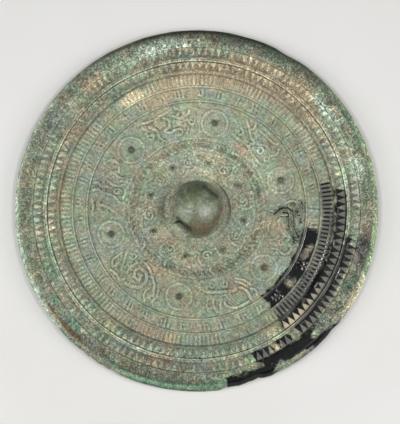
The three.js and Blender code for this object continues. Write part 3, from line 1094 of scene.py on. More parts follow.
PATCHES: dict[Stain, tuple[Patch, ...]] = {
    Stain.TAN: spots(
        (18, 80, 18, 10, 1.0), (44, 78, 14, 9, 0.9), (-8, 84, 12, 8, 0.8), (60, 68, 12, 6, 0.8),
        (96, 84, 14, 9, 0.7), (125, 79.5, 14, 2.5, 0.9), (-160, 75, 14, 5, 0.9), (3, 44, 9, 5, 0.9),
        (-172, 42, 12, 4, 1.1), (170, 24, 30, 5, 0.7), (-112, 52, 14, 7, 0.6), (-60, 48, 20, 8, 0.6),
        (-57, 98.5, 3.5, 2.6, 1.1), (10, 91, 16, 4.5, 1.2), (-1, 95, 3, 2, 1.2), (80, 96, 5, 6, 1.0),
        (64, 88, 3, 2, 0.9), (-14, 98, 4, 1.6, 1.0), (-154, 90, 8, 4, 0.8),
    ),
    Stain.CREAM: spots(
        (70, 75, 6.5, 3.5, 1.3), (48, 75, 3, 3, 0.8), (-108, 91, 4.5, 3, 1.2), (-108, 82, 4, 3, 1.0),
        (20, 22, 30, 3, 0.7), (-150, 30, 30, 5, 0.6), (-79, 103.8, 9, 1.8, 1.2), (9, 92.8, 2, 1.5, 1.2),
        (177.5, 96, 1.6, 1.2, 1.2), (55, 104.9, 11, 0.6, 1.0),
    ),
    Stain.LIME: spots(
        (-126, 98.5, 13, 3, 1.1), (-118, 92, 5, 3, 0.9), (-24, 104.3, 26, 1.6, 1.0),
        (-64, 103.6, 14, 1.8, 1.0), (36.5, 100.5, 2, 1.5, 0.9), (150, 100, 30, 3, 0.4),
    ),
    Stain.TURQUOISE: spots(
        (110, 104.6, 38, 1.0, 0.9), (158, 104.2, 24, 1.5, 0.9), (52, 97, 9, 5, 1.3),
        (-12, 94.5, 8, 3, 1.1), (-24, 67.5, 4, 3, 1.1), (145, 67, 4, 3, 1.0), (-84, 58, 6, 6, 1.0),
        (-6, 50, 6, 6, 0.9), (150, 54, 20, 8, 0.5), (-36, 96, 4.5, 4, 1.2), (-77, 97, 7, 3, 0.5),
    ),
    Stain.MALACHITE: spots(
        (173.5, 96.6, 2.2, 1.8, 1.7), (163, 96.8, 1.8, 2.0, 1.6), (-155, 103, 15, 2.2, 1.0),
        (-136, 102.5, 8, 3, 1.2), (-22, 101.6, 20, 1.4, 0.9), (12, 100, 10, 2.5, 0.5),
        (-77, 98, 7, 3.5, 0.7), (-72, 68, 5, 4, 0.9), (150, 90, 12, 6, 0.6),
    ),
    Stain.RUST: spots(
        (175, 101, 6, 1.5, 1.6), (165, 101.4, 3, 0.9, 1.2), (45, 93, 10, 2, 0.8), (-126, 12, 40, 4, 0.9),
        (-59, 13.5, 30, 2.5, 0.6),
    ),
    Stain.PURPLE: spots(
        (-63.5, 98, 5.5, 3.5, 1.4), (117, 54, 12, 7, 0.6), (94, 97, 14, 5, 0.5), (-46, 91, 5, 4.5, 0.8),
        (27, 98, 6, 4, 0.5), (-55, 80, 8, 6, 0.7),
    ),
    Stain.CRUST: spots(
        (-92, 99.3, 5.5, 3.4, 1.6), (-77, 98.0, 8, 4.0, 2.2), (-105, 102.8, 6.5, 2.2, 1.0),
        (-112, 102.8, 3.5, 2, 0.9), (-102, 91, 1.6, 3, 1.3), (-54, 67, 5, 5, 1.5), (-90, 67, 2.5, 3, 0.5),
    ),
    Stain.CHALK: spots(
        (-89, 68, 3, 4, 0.5), (-70, 68, 5, 4, 0.5), (-101, 84, 6, 4, 0.4), (-92, 83.5, 13, 2.5, 0.35),
        (-62, 83.5, 30, 2.5, 0.1), (-90, 91.3, 22, 2.5, 0.2), (-70, 76, 30, 3, 0.15),
    ),
    Stain.GRIT: (
        *sector(0, ROUND, (98.5, 4.5, 1.0), (86, 7, 0.7), (37.5, 3.5, 0.7), (28, 7, 0.3), (104, 1.2, 0.8)),
        *spots(
            (50, 97, 14, 7, 0.8), (-20, 97, 25, 6, 0.5), (-90, 100, 30, 7, 0.6), (130, 18, 60, 3.5, 0.5),
        ),
    ),
    Stain.TONE: (
        # rings: ridges and the outer sides of lines in light, their inner sides and feet in shadow
        *sector(
            0, ROUND,
            (13.4, 2.4, -0.25), (33.4, 0.5, 0.2), (37.4, 1.2, -0.3), (39.3, 0.6, 0.25),
            (40.4, 0.4, -0.25), (41.5, 0.5, 0.25), (61, 1.0, 0.12), (62.7, 0.5, -0.25),
            (63.2, 0.4, -0.15), (64.4, 0.5, 0.35), (71.0, 0.5, 0.45), (71.9, 0.5, -0.3),
            (72.2, 0.4, -0.2), (79.0, 0.6, 0.5), (79.6, 1.2, -0.1), (80.5, 0.5, -0.55),
            (85.8, 0.25, -0.25), (86.5, 0.3, 0.15), (88.9, 0.5, -0.25), (94.9, 0.5, -0.1),
        ),
        # the rim darker all round, and a lighter ring on the seat by the dome's foot
        *sector(90, ROUND, (17.4, 0.8, 0.15), (98.5, 3.8, -0.5)),
        # knob and its seat: painted shade on the top and flanks of the dome and painted shadow in the groove
        # round the seat, with lighter and darker crust
        *spots(
            (36, 13.6, 50, 4, -0.9), (130, 14.0, 35, 2, -0.5), (-45, 14.0, 35, 2, -0.35),
            (180, 16, 20, 2.4, 0.3), (-126, 13, 50, 4, -0.2), (112, 16.8, 36, 1.2, 0.35),
            (168, 20, 20, 3, 0.3), (12, 20.7, 25, 0.7, -0.6), (40, 21.3, 25, 0.5, -0.6),
            (130, 20.3, 34, 1.3, -2.4), (-40, 19.7, 38, 1.2, -2.0), (40, 18.6, 30, 1.2, 0.5),
            (40, 23, 34, 2.5, 0.25),
        ),
        # inner field and the ring of slanted strokes: painted light beside its thin lines and painted shade
        # inside the ring, with lighter and darker crust
        *spots(
            (32, 30, 26, 12, 0.22), (-148, 28, 22, 6, -0.25), (40, 28.5, 36, 6, 0.2),
            (40, 35.4, 36, 0.7, 0.4), (0, 35.4, 50, 0.6, 0.2), (10, 33.4, 60, 0.5, 0.2),
            (10, 39.3, 60, 0.6, 0.3), (50, 41.2, 60, 0.6, 0.3),
        ),
        *sector(-40, 50, (33.3, 0.6, 0.2), (35.5, 0.5, 0.3), (41.4, 0.5, 0.2), (36.9, 0.8, -0.2)),
        # main field, inscription band, combs and teeth
        *spots(
            (-12, 44, 22, 4, 0.2), (-20, 47, 24, 7, 0.35), (40, 48, 36, 9, 0.12), (38, 54, 40, 14, 0.3),
            (40, 72, 45, 10, 0.3), (30, 75, 60, 5, 0.1), (130, 76.5, 40, 2, 0.4), (20, 83, 35, 9, 0.12),
            (130, 83.5, 45, 3, 0.2), (-55, 87, 18, 1.6, 0.4), (130, 87.4, 60, 0.7, 0.1),
            (30, 89.6, 50, 0.8, 0.2), (10, 91, 14, 3.5, 0.3), (-20.5, 90.8, 0.8, 0.9, -1.6),
            (-158, 94, 26, 10, -0.3),
        ),
        *sector(-20, 22, (67.5, 3, -0.2), (76.5, 2, 0.3), (84, 5, 0.25), (92, 3, 0.15)),
        # painted shade below the double ridge, and painted light over the line at the foot of the rim
        *sector(78, 36, (87.3, 0.9, -0.3), (94.2, 0.4, 0.4), (95, 0.7, 0.4)),
        # rim
        *spots(
            (-12, 94.5, 8, 3, 0.3), (50, 96, 10, 4, 0.3), (-36, 96, 4.5, 4, 0.25),
            (177.5, 96, 1.6, 1.2, 0.6), (120, 96, 20, 4, 0.12), (72, 97, 26, 5, 0.28),
            (-30, 97, 22, 7, 0.35), (-150, 98, 22, 5, -0.25), (-126, 98, 12, 3, 0.2),
            (-63.5, 98, 5.5, 3.3, -0.8), (-78, 98.5, 13, 5, -0.45), (-172.5, 99, 1.8, 1.8, -1.1),
            (15, 100.5, 14, 2.5, -0.4), (34, 100.5, 24, 1.2, -0.4), (174, 101, 8, 1.4, -0.6),
            (-148, 101, 22, 0.8, -0.4), (-154, 101, 16, 0.7, -0.7), (-60, 101, 12, 0.6, -0.7),
            (-24, 101.4, 20, 0.9, -0.5),
        ),
        # bevelled side and edge: deep shadow at 34, where it turns away, and pale where it catches the light
        *spots(
            (-13, 102.4, 30, 1.0, -0.35), (2, 102.5, 10, 2, -0.5), (58, 103.2, 10, 1, -1.0),
            (34, 103.4, 28, 2.4, -1.8), (34, 104.4, 34, 1.2, -1.7), (-155, 103.4, 13, 1.2, 0.5),
            (122, 103.8, 24, 0.6, 0.4), (115, 103.9, 42, 0.7, 0.7), (-79, 104.2, 9, 1.6, 0.5),
            (160, 104.3, 24, 1.4, 0.4), (72, 104.5, 7, 1.2, -0.5), (-148, 104.7, 22, 0.8, -0.8),
            (-62, 104.7, 18, 0.8, 0.5), (-24, 104.8, 24, 0.8, 0.4), (55, 105, 11, 0.5, 1.0),
        ),
        *sector(110, 40, (100.8, 0.6, -0.35), (102.7, 0.45, -0.6)),
    ),
}

# Bare black patina, ring by ring: inner and outer radius, and first and last angle.
BARE: tuple[tuple[float, float, float, float], ...] = (
    (62.4, 71.9, -104.0, -57.0),
    (71.7, 78.3, -103.4, -37.0),
    (78.1, 81.0, -103.4, -63.0),
    (80.6, 86.6, -104.2, -42.0),
    (85.8, 89.4, -104.2, -60.0),
    (88.6, 94.6, -99.5, -63.0),
    (88.8, 94.8, -109.5, -98.0),
    (88.8, 94.6, -119.5, -111.5),
    (94.2, 99.5, -117.0, -84.0),
    (98.6, 106.0, -130.5, -111.0),
    (97.5, 106.0, -112.0, -88.5),
)


def bareness(radius: Array, angle: Array) -> Array:
    """How far inside the bare area each place is.

    Args:
        radius: Each place's radius.
        angle: Its angle.

    Returns:
        From -1 well outside to 1 well inside.
    """
    depth = np.full_like(radius, -1.0)
    for inner, outer, first, last in BARE:
        half = (last - first) / 2
        side = (half - np.abs(degrees_between(angle, (first + last) / 2))) * radius * math.pi / 180
        across = np.minimum(radius - inner, outer - radius) + 1.2
        depth = np.maximum(depth, np.clip(np.minimum(side, across) / 5.0, -1.0, 1.0))
    return depth


@dataclass(frozen=True)
class Wear:
    """What time has done to the casting: chipped edge, lumpy crust and rounded places."""

    chips: Sequence[tuple[float, float, float]] = (
        (-122.0, 8.0, 1.5), (-130.0, 4.0, 1.0), (-92.0, 4.0, 0.7), (10.0, 5.0, 0.6),
        (-175.0, 2.0, 0.4), (-178.5, 1.6, 0.5), (-171.0, 1.5, 0.35), (-167.0, 1.5, 0.4),
    )
    jagged: float = -122.0

    def nibble(self, points: Array) -> Array:
        """Draws the edge in where it is chipped, and makes its outline slightly uneven.

        Args:
            points: The casting's points.

        Returns:
            The points, moved.
        """
        radius, angle = polar(points)
        lost = 0.12 + 0.12 * Lumps(3.0, 31).at(angle, np.zeros_like(angle))
        for at, wide, deep in self.chips:
            lost = lost + deep * ease(wide, 0.0, np.abs(degrees_between(angle, at)))
        jagged = ease(16.0, 8.0, np.abs(degrees_between(angle, self.jagged)))
        lost = lost + 0.5 * jagged * Lumps(1.1, 32).at(angle, np.zeros_like(angle))
        scale = 1.0 - lost * ease(99.0, 104.0, radius) / np.maximum(radius, 1.0)
        moved = points.copy()
        moved[:, :2] *= scale[:, None]
        return moved

    def crust(self, points: Array, bare: Array) -> Array:
        """Adds the unevenness of the crust to the points that face up.

        Args:
            points: The casting's points.
            bare: How far inside the bare area each is.

        Returns:
            The points, moved.
        """
        x, y = points[:, 0], points[:, 1]
        sizes = ((0.08, 6.0, 11), (0.06, 2.3, 12), (0.05, 1.1, 13))
        lumps = sum(height * Lumps(size, seed).at(x, y) for height, size, seed in sizes)
        cover = ease(0.3, -0.2, bare) * ease(1.9, 2.6, points[:, 2])
        moved = points.copy()
        moved[:, 2] += (lumps - 0.04) * cover
        return moved


# ---------------------------------------------------------------- finish


Colour = tuple[int, int, int]


def tone(colour: Colour) -> tuple[float, ...]:
    """A colour as it is seen, 0 to 255, in the scale that materials use."""
    parts = (part / 255 for part in colour)
    return (*(part / 12.92 if part <= 0.04045 else ((part + 0.055) / 1.055) ** 2.4 for part in parts), 1.0)


class Mixer:
    """Adds nodes to a material and joins them up."""

    def __init__(self, material: bpy.types.Material) -> None:
        """Clears the material's nodes.

        Args:
            material: The material.
        """
        material.use_nodes = True
        self.tree = material.node_tree
        self.tree.nodes.clear()
        self.shader = self.add("ShaderNodeBsdfPrincipled")
        self.feed(self.add("ShaderNodeOutputMaterial").inputs["Surface"], self.shader.outputs["BSDF"])
        self.place = self.add("ShaderNodeTexCoord").outputs["Object"]

    def add(self, kind: str, **settings: object) -> bpy.types.Node:
        """Adds a node.

        Args:
            kind: Its type.
            settings: Its settings.

        Returns:
            The node.
        """
        node = self.tree.nodes.new(kind)
        for key, value in settings.items():
            setattr(node, key, value)
        return node

    def feed(self, socket: Socket, value: object) -> None:
        """Joins an output to a socket, or sets the socket's own value.

        Args:
            socket: The input.
            value: An output, a number or a colour.
        """
        if isinstance(value, Socket):
            self.tree.links.new(value, socket)
        else:
            socket.default_value = value

    def work(
        self, kind: str, output: str | int, inputs: dict[str | int, object], **settings: object
    ) -> Socket:
        """Adds a node and feeds its inputs.

        Args:
            kind: Its type.
            output: Which output is wanted.
            inputs: What each input gets.
            settings: Its settings.

        Returns:
            The output.
        """
        node = self.add(kind, **settings)
        for key, value in inputs.items():
            self.feed(node.inputs[key], value)
        return node.outputs[output]

    def layer(self, name: str) -> Socket:
        """A layer of numbers stored on the points."""
        return self.work("ShaderNodeAttribute", "Fac", {}, attribute_name=name)

    def noise(self, size: float, detail: float = 4.0, rough: float = 0.7, seed: float = 0.0) -> Socket:
        """Cloudy noise.

        Args:
            size: How far across its largest features are, in millimetres.
            detail: How many finer layers it has.
            rough: How strong the finer layers are.
            seed: Which pattern.

        Returns:
            Values from 0 to 1.
        """
        inputs = {"Vector": self.place, "W": seed, "Scale": 1 / MM / size}
        inputs |= {"Detail": detail, "Roughness": rough}
        return self.work("ShaderNodeTexNoise", "Fac", inputs, noise_dimensions="4D")

    def cells(self, size: float) -> Socket:
        """Distance to scattered points about size millimetres apart."""
        return self.work("ShaderNodeTexVoronoi", "Distance", {"Vector": self.place, "Scale": 1 / MM / size})

    def sum(self, operation: str, *values: object) -> Socket:
        """One step of arithmetic on up to three values."""
        return self.work("ShaderNodeMath", 0, dict(enumerate((*values, 0.0, 0.0)[:3])), operation=operation)

    def step(self, value: object, low: float, high: float, bottom: float = 0.0, top: float = 1.0) -> Socket:
        """A smooth step.

        Args:
            value: What goes from low to high.
            low: Where the step starts. It may be more than high.
            high: Where it ends.
            bottom: What it gives at low.
            top: What it gives at high.

        Returns:
            Values from bottom to top.
        """
        if low > high:
            low, high, bottom, top = high, low, top, bottom
        inputs = {"Value": value, "From Min": low, "From Max": high, "To Min": bottom, "To Max": top}
        return self.work("ShaderNodeMapRange", "Result", inputs, interpolation_type="SMOOTHSTEP")

    def blend(self, share: object, under: object, over: object) -> Socket:
        """One colour laid over another, each an output or red, green and blue."""
        colours = {6 + k: tone(c) if isinstance(c, tuple) else c for k, c in enumerate((under, over))}
        return self.work("ShaderNodeMix", 2, {"Factor": share, **colours}, data_type="RGBA")

    def brighten(self, colour: object, factor: object) -> Socket:
        """A colour made lighter or darker by a factor."""
        return self.work("ShaderNodeVectorMath", 0, {0: colour, "Scale": factor}, operation="SCALE")

    def between(self, share: object, under: object, over: object) -> Socket:
        """One number between two others."""
        return self.work("ShaderNodeMix", 0, {"Factor": share, 2: under, 3: over}, data_type="FLOAT")


COLOURS: dict[Stain, Colour] = {
    Stain.TAN: (162, 147, 122),
    Stain.CREAM: (198, 188, 156),
    Stain.LIME: (150, 172, 134),
    Stain.TURQUOISE: (158, 173, 158),
    Stain.MALACHITE: (116, 156, 128),
    Stain.RUST: (126, 100, 78),
    Stain.PURPLE: (122, 117, 116),
}


@dataclass(frozen=True)
class Patina:
    """Old bronze: grey-green crust with stains, and bare black patina where the crust has come off."""

    green: Colour = (137, 152, 130)
    ochre: Colour = (152, 149, 128)
    straw: Colour = (156, 158, 124)
    slate: Colour = (138, 150, 140)
    deep: Colour = (96, 103, 82)
    black: Colour = (20, 21, 22)
    # grey packing in hollows, also the painted highlight on bare crests
    packing_and_glint: Colour = (112, 112, 106)
    chalk: Colour = (200, 190, 162)
    olive: Colour = (98, 104, 78)
    brown: Colour = (116, 100, 78)
    fine: float = 2.6
    coarse: float = 1.6
    broad: float = 1.0
    # how strongly the deposit layer lightens and darkens the crust, its painted crest light and shade
    # included
    packed: float = 0.6

    def crust(self, mix: Mixer, hue: object, ragged: object) -> Socket:
        """The colour of the crust.

        Args:
            mix: The material's mixer.
            hue: Noise that turns it green or ochre.
            ragged: Noise about 0 that frays the edges of the stains.

        Returns:
            Its colour.
        """
        tint = mix.noise(9.0, 3.0, 0.5, 9.0)
        varied = mix.sum("MULTIPLY_ADD", hue, 0.3, -0.15)
        hue = mix.sum("MULTIPLY_ADD", mix.layer(Stain.GRIT.value), varied, hue)
        crust = mix.blend(mix.step(hue, 0.36, 0.64), self.green, self.ochre)
        crust = mix.blend(mix.step(tint, 0.48, 0.72, 0.0, 0.55), crust, self.straw)
        crust = mix.blend(mix.step(tint, 0.5, 0.28, 0.0, 0.75), crust, self.slate)
        for stain, colour in COLOURS.items():
            share = mix.step(mix.sum("ADD", mix.layer(stain.value), ragged), 0.2, 0.9, 0.0, 0.8)
            share = mix.sum("MULTIPLY", share, mix.step(mix.layer(stain.value), 0.05, 0.35))
            crust = mix.blend(share, crust, colour)
        return crust

    def stops(self, mix: Mixer, light: object, dark: object, smooth: object) -> Socket:
        """How many doublings lighter each place is: grains, deposits, and painted light and shade from relief
        and tone.

        Args:
            mix: The material's mixer.
            light: Noise of its fine grains.
            dark: Noise of its coarser grains.
            smooth: How much of the handled surface is there.

        Returns:
            Doublings, darker below 0.
        """
        grain = 0.0
        clouds = mix.noise(6.0, 2.0, 0.5, 8.0)
        for noise, strength in ((light, self.fine), (dark, self.coarse), (clouds, self.broad)):
            grain = mix.sum("MULTIPLY_ADD", mix.sum("SUBTRACT", noise, 0.5), strength, grain)
        thread = mix.sum("FRACT", mix.sum("MULTIPLY", mix.noise(7.0, 2.0, 0.6, 7.0), 11.0))
        thread = mix.sum("ABSOLUTE", mix.sum("SUBTRACT", thread, 0.5))
        grain = mix.sum("ADD", grain, mix.step(thread, 0.02, 0.5, -0.3, 0.25))
        grit = mix.sum("MULTIPLY_ADD", mix.layer(Stain.GRIT.value), 1.0, 1.1)
        grain = mix.sum("MULTIPLY", grain, mix.between(smooth, grit, 0.9))
        clear = mix.step(mix.noise(24.0, 3.0, 0.6, 6.0), 0.38, 0.6, 0.35, 1.0)
        # packed hollows pale and high places dark, and painted light on crests with painted shade below them
        relief = mix.sum("MULTIPLY", mix.layer("deposit_and_shading"), mix.sum("MULTIPLY", clear, self.packed))
        stands = mix.layer("stands")
        # painted light on what stands above its surroundings and painted shade in what lies below them
        relief = mix.sum("ADD", relief, mix.step(stands, 0.02, 0.25, 0.0, 0.36))
        relief = mix.sum("ADD", relief, mix.step(stands, -0.02, -0.2, 0.0, -1.1))
        return mix.sum("ADD", mix.sum("ADD", grain, relief), mix.layer(Stain.TONE.value))

    def make(self) -> bpy.types.Material:
        """Builds the material.

        Returns:
            The material.
        """
        material = bpy.data.materials.new("old_bronze")
        mix = Mixer(material)
        finish = mix.shader.inputs
        hue = mix.noise(7.5, 3.0, 0.5, 1.0)
        light = mix.noise(1.2, 4.0, 0.8, 2.0)
        dark = mix.noise(2.4, 4.0, 0.7, 3.0)
        ragged = mix.sum("MULTIPLY_ADD", light, 0.8, -1.2)
        ragged = mix.sum("MULTIPLY_ADD", mix.noise(4.0, 4.0, 0.65, 10.0), 1.6, ragged)

        smooth = mix.sum("MULTIPLY_ADD", light, 0.8, mix.sum("ADD", mix.layer("polished"), -0.4))
        smooth = mix.step(smooth, 0.0, 0.3, 0.0, 0.9)
        olive = mix.blend(mix.step(hue, 0.42, 0.66, 0.0, 0.7), self.olive, self.green)
        olive = mix.blend(mix.step(mix.layer(Stain.RUST.value), 0.1, 0.9, 0.0, 0.8), olive, self.brown)
        crust = mix.blend(smooth, self.crust(mix, hue, ragged), olive)
        # lighter and darker in doublings, with the painted light and shade of the relief and the tone layer
        crust = mix.brighten(crust, mix.sum("POWER", 2.0, self.stops(mix, light, dark, smooth)))

        edge = mix.sum("ADD", mix.layer("bare"), ragged)
        edge = mix.sum("MULTIPLY_ADD", mix.layer("deposit_and_shading"), -0.12, edge)
        bare = mix.step(edge, 0.05, 0.3)
        # where bare: pale packing in hollows, and a painted highlight on the crests of the double ridge and
        # the inscription band's lines
        filled_and_lit = mix.sum("ADD", mix.layer("deposit_and_shading"), mix.layer(Stain.CHALK.value))
        filled_and_lit = mix.sum("ADD", filled_and_lit, mix.step(mix.noise(7.0, 2.0, 0.5, 4.0), 0.3, 0.7, -0.25, 0.25))
        filled_and_lit = mix.step(filled_and_lit, 0.1, 1.0)
        # the packing's colour, which on the lit crests is a painted highlight
        packing_and_glint = mix.step(mix.noise(9.0, 3.0, 0.6, 5.0), 0.5, 0.8, 0.0, 0.6)
        packing_and_glint = mix.blend(packing_and_glint, self.packing_and_glint, self.chalk)
        packing_and_glint = mix.blend(mix.step(mix.layer(Stain.CHALK.value), 0.1, 0.5), packing_and_glint, self.chalk)
        black = mix.blend(mix.step(light, 0.56, 0.8, 0.0, 0.5), self.black, self.deep)
        mix.feed(finish["Base Color"], mix.blend(bare, crust, mix.blend(filled_and_lit, black, packing_and_glint)))

        glossy = mix.sum("MULTIPLY", bare, mix.step(filled_and_lit, 0.5, 0.0))
        crust_rough = mix.between(smooth, mix.step(light, 0.3, 0.7, 0.6, 0.85), 0.24)
        mix.feed(finish["Roughness"], mix.between(glossy, crust_rough, 0.22))
        sheen = mix.between(glossy, mix.between(smooth, 0.12, 0.5), 0.3)
        mix.feed(finish["Specular IOR Level"], sheen)
        mix.feed(finish["Metallic"], mix.sum("MULTIPLY", glossy, 0.2))

        height = mix.sum("MULTIPLY_ADD", light, 0.9, mix.sum("MULTIPLY", dark, 0.9))
        height = mix.sum("ADD", height, mix.step(mix.cells(1.6), 0.0, 0.35, -0.3, 0.0))
        calm = mix.between(glossy, mix.between(smooth, 1.0, 0.38), 0.12)
        grains = {"Distance": 0.45 * MM, "Strength": 0.9, "Height": mix.sum("MULTIPLY", height, calm)}
        mix.feed(finish["Normal"], mix.work("ShaderNodeBump", "Normal", grains))
        return material


# ---------------------------------------------------------------- the mirror


def spaced(first: float, last: float, count: int) -> list[float]:
    """Radii at even steps from first to last."""
    return np.linspace(first, last, count).tolist()


def radii(section: Sequence[Point]) -> list[float]:
    """The radii of a section's points."""
    return [radius for radius, _ in section]


@dataclass
class Face(Ring):
    """The polished face underneath, slightly convex."""

    def relief(self, radius: Array, angle: Array) -> Relief:
        """The face's height at each radius."""
        return Relief(LEVELS.face(radius))


@dataclass
class BronzeMirror:
    """The whole casting, ring by ring from the knob out to the rim and round to the face."""

    node: str = "bronze_mirror"
    body: str = "root"
    slot: str = "bronze"
    wear: Wear = field(default_factory=Wear)
    patina: Patina = field(default_factory=Patina)

    def knob(self) -> Knob:
        """The knob and its seat, ready to be turned.

        Returns:
            The ring.
        """
        lv = LEVELS
        section = [(r, float(Knob.dome(r))) for r in (*spaced(0.6, 15.5, 17), 16.0, 16.3, 16.45)]
        section += [(16.55, lv.seat + 0.1), (17.2, lv.seat), (18.2, lv.seat), (19.0, lv.seat), (19.5, 3.4)]
        section += [(19.9, 2.6), (20.5, 2.42), (21.1, 2.55), (21.7, lv.field)]
        return Knob("knob", 160, radii(section), section=section, ground=lv.seat)

    def rings(self) -> list[Ring]:
        """The rings in order, each ready to be turned.

        Returns:
            The rings, from the knob outwards and round to the face.
        """
        lv = LEVELS
        thin = [(0.0, 0.0), (0.3, 0.42), (0.55, lv.line), (0.8, 0.42), (1.1, 0.0)]
        inner_line = [(34.2 + r, lv.field + z) for r, z in thin]
        outer_line = [(40.0 + r, lv.field + z) for r, z in thin]
        rope = [35.5, 35.7, 36.0, 37.2, 38.4, 39.5, 39.8]
        words = [(62.7, lv.field), (63.0, 3.42), (63.3, 3.6), (63.6, 3.5), (63.9, lv.words)]
        words += [(71.2, lv.words), (71.5, 3.6), (71.8, 3.85), (72.1, 3.8), (72.4, lv.comb)]
        comb = [(72.7, lv.comb), (78.3, lv.comb), (78.6, 3.65), (80.5, 5.85), (80.8, 6.0)]
        ridge = [(85.95, 5.3), (86.2, 5.4), (86.5, 6.2), (86.8, 6.3), (87.1, 6.2), (87.35, 6.0)]
        ridge += [(87.6, 6.05), (87.85, 6.1), (88.1, 6.1), (88.4, 5.85)]
        rim = [(94.15, 5.3), (94.4, 5.4), (94.75, 6.08), (95.2, lv.rim)]
        rim += [(r, lv.rim + 0.02) for r in spaced(96.2, 101.2, 6)]
        rim += [(101.8, 6.08), (102.4, 5.75), (103.3, 4.8), (104.2, 3.75), (104.75, 3.0)]
        rim += [(104.95, 2.4), (104.8, 1.8)]
        under = [104.4, *spaced(101.0, 11.0, 10), 2.0]
        slanted, combs, inner, outer = 84, 196, 135, 152
        return [
            self.knob(),
            InnerField("inner_field", 336, spaced(22.0, 33.9, 25), section=[(20, lv.field), (35, lv.field)]),
            Strokes(
                "rope", slanted * 6, [*radii(inner_line), *rope, *radii(outer_line)], 1,
                slanted, 35.7, 39.6, [*inner_line, *outer_line], lv.field,
                rise=0.36, width=0.4, slant=0.9, places=6, pale=0.3,
            ),
            Field("field", 600, spaced(41.4, 62.4, 37), section=[(41, lv.field), (63, lv.field)]),
            Words(
                "words", 720, [*radii(words[:5]), *spaced(64.5, 70.6, 11), *radii(words[5:])],
                section=words, ground=lv.words, pale=0.8,
            ),
            Strokes(
                "comb", combs * 5, [72.7, 73.0, 74.8, 76.6, 78.0, 78.3, 78.6, 80.5, 80.8], 1,
                combs, 72.9, 78.4, comb, lv.comb, width=0.34, pale=0.9,
            ),
            Teeth(
                "inner_teeth", inner * 7, [80.95, 81.15, 82.3, 83.5, 84.6, 85.4, 85.7], 1, inner, 81.1, 85.5,
            ),
            Turned("double_ridge", 480, radii(ridge), section=ridge, ground=5.9, pale=0.8),
            Teeth(
                "outer_teeth", outer * 7, [88.75, 88.95, 90.2, 91.5, 92.8, 93.6, 93.9], 1, outer, 88.9, 93.7,
            ),
            Turned("rim", 480, radii(rim), section=rim, reach=1),
            Face("face", 240, under, 0),
        ]

    def cast(self) -> bpy.types.Object:
        """Turns the rings, pierces the knob, and joins all into one casting.

        Returns:
            The casting.
        """
        made = []
        rings = self.rings()
        for ring in rings:
            turned = ring.turn()
            if isinstance(ring, Knob):
                ring.pierce(turned)
            made.append(turned)
            log.info("%s: %d faces", ring.name, len(turned.data.polygons))
        casting = made[0]
        only(casting)
        for turned in made:
            turned.select_set(True)
        bpy.ops.object.join()
        casting.name = "mirror_casting"
        with editing(None):
            for inside, outside in pairwise(rings):
                pick_groups(casting, f"{inside.name}_outer", f"{outside.name}_inner")
                bpy.ops.mesh.bridge_edge_loops()
            pick_groups(casting, f"{rings[-1].name}_outer")
            bpy.ops.mesh.merge(type="CENTER")
            turn_outwards()
        casting.vertex_groups.clear()
        return casting

    def age(self, casting: bpy.types.Object) -> None:
        """Wears the casting and stores where its surface differs.

        Args:
            casting: The clean casting.
        """
        points = read_points(casting)
        radius, angle = polar(points)
        above = points[:, 2] > LEVELS.back
        bare = np.where(above, np.maximum(bareness(radius, angle), read_layer(casting, "rubbed")), -1.0)
        knob = self.knob()
        polished = np.where(above & (radius < 20.5), knob.handled(points), read_layer(casting, "polished"))
        write_layer(casting, "polished", polished)
        for name in ("deposit_and_shading", "stands"):
            bumpy = (radius > 19.3) & (polished < -0.3)
            write_layer(casting, name, np.where(bumpy, read_layer(casting, name), 0.0))
        for stain, patches in PATCHES.items():
            cover = sum(patch.cover(radius, angle) for patch in patches)
            if stain is Stain.TONE:
                # painted shadow under the channel's lips; the nipples darker, for their darker handled metal
                # and as painted shade on their flanks
                cover = cover + np.where(radius < 17.0, knob.shade(points), -0.9 * ease(-0.25, 0.2, polished))
            cover = np.where(above, cover, 0.0)
            if stain is Stain.CRUST:
                bare = bare - cover
            else:
                write_layer(casting, stain.value, np.clip(cover, -2.5, 1.5))
        write_layer(casting, "bare", np.clip(bare, -1.0, 1.0))
        write_points(casting, self.wear.nibble(self.wear.crust(points, bare)))

    def build(self) -> bpy.types.Object:
        """Builds and dresses the casting.

        Returns:
            The finished piece.
        """
        casting = self.cast()
        self.age(casting)
        only(casting)
        bpy.ops.object.shade_smooth_by_angle(angle=math.radians(50))
        casting.data.materials.clear()
        casting.data.materials.append(self.patina.make())
        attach(casting, self.body)
        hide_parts(self.node)
        casting.data.calc_loop_triangles()
        log.info("%s: %d triangles", casting.name, len(casting.data.loop_triangles))
        return casting


# ---------------------------------------------------------------- studio


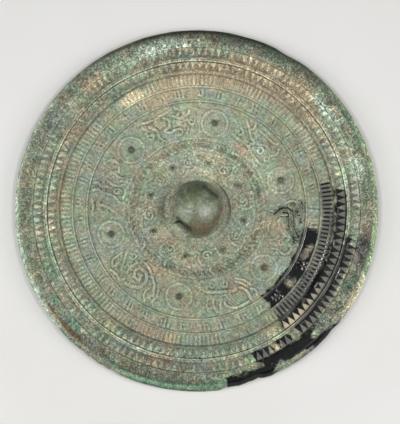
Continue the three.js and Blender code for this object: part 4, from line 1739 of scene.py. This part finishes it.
@dataclass
class Studio:
    """A pale floor, soft light from both sides, and the camera almost overhead."""

    azimuth: float = -50.0
    elevation: float = 83.4
    distance: float = 2.0
    tall: float = 0.2442
    aside: Point = (0.0019, -0.00153)
    reach: float = 1.2  # from the mirror to each lamp
    side: float = 83.0  # how far round from the camera the side lamps stand

    @staticmethod
    def direction(azimuth: float, elevation: float) -> Vector:
        """The way from the mirror to something at an azimuth and elevation in degrees."""
        a, e = math.radians(azimuth), math.radians(elevation)
        return Vector((math.sin(a) * math.cos(e), -math.cos(a) * math.cos(e), math.sin(e)))

    def floor(self) -> None:
        """A plain pale floor."""
        bpy.ops.object.select_all(action="DESELECT")
        bpy.ops.mesh.primitive_plane_add(size=8.0, location=(0.0, 0.0, -0.0002))
        ground = bpy.context.object
        ground.name = "floor"
        material = bpy.data.materials.new("pale_floor")
        mix = Mixer(material)
        mottle = mix.blend(mix.step(mix.noise(240.0, 3.0), 0.3, 0.7), (224, 223, 220), (229, 228, 226))
        mix.feed(mix.shader.inputs["Base Color"], mottle)
        mix.feed(mix.shader.inputs["Roughness"], 0.9)
        ground.data.materials.append(material)

    def lamp(
        self, name: str, turn: float, elevation: float, power: float, size: float, glint: bool = False
    ) -> None:
        """A soft square lamp that faces the mirror.

        Args:
            name: What it is called.
            turn: How far round from the camera's side it stands, in degrees.
            elevation: How high it stands, in degrees.
            power: Its power in watts.
            size: Its side in metres.
            glint: Whether it only shows as a highlight on what is glossy; otherwise it only lights.
        """
        data = bpy.data.lights.new(name, "AREA")
        data.energy, data.size = power, size
        lamp = bpy.data.objects.new(name, data)
        bpy.context.collection.objects.link(lamp)
        lamp.visible_glossy, lamp.visible_diffuse = glint, not glint
        back = self.direction(self.azimuth + turn, elevation)
        lamp.location = back * self.reach
        lamp.rotation_euler = (-back).to_track_quat("-Z", "Y").to_euler()

    def camera(self) -> None:
        """The camera, looking down at the mirror from the near side."""
        data = bpy.data.cameras.new("camera")
        data.sensor_width = 36.0
        data.lens = data.sensor_width * self.distance / self.tall
        camera = bpy.data.objects.new("camera", data)
        bpy.context.collection.objects.link(camera)
        back = self.direction(self.azimuth, self.elevation)
        turn = (-back).to_track_quat("-Z", "Y")
        shift = turn @ Vector((self.aside[0], self.aside[1], 0.0))
        camera.location = back * self.distance + shift + Vector((0.0, 0.0, 0.005))
        camera.rotation_euler = turn.to_euler()
        data.clip_start, data.clip_end = 0.05, 20.0
        bpy.context.scene.camera = camera

    def build(self) -> None:
        """Sets the floor, lamps, surrounding light and camera."""
        self.floor()
        for side in (-1.0, 1.0):
            turn = side * self.side
            self.lamp("lamp_high", turn, 57.0, 4.1, 0.3)
            self.lamp("lamp_low", turn, 27.0, 6.5, 0.5)
            self.lamp("lamp_glint", turn, 65.0, 11.0 + 2.5 * side, 0.11, True)
        self.lamp("lamp_near", 0.0, 45.0, 2.1, 0.8)
        world = bpy.data.worlds.new("room")
        world.use_nodes = True
        sky = world.node_tree.nodes["Background"].inputs
        sky["Color"].default_value, sky["Strength"].default_value = (1.0, 1.0, 1.0, 1.0), 0.06
        bpy.context.scene.world = world
        bpy.context.scene.view_settings.view_transform = "Standard"
        self.camera()
        log.info("studio: floor, seven lamps and camera")


def main() -> None:
    """Builds the mirror and the studio."""
    logging.basicConfig(level=logging.INFO, format="%(name)s: %(message)s")
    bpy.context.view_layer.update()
    BronzeMirror().build()
    Studio().build()


if __name__ == "__main__":
    main()
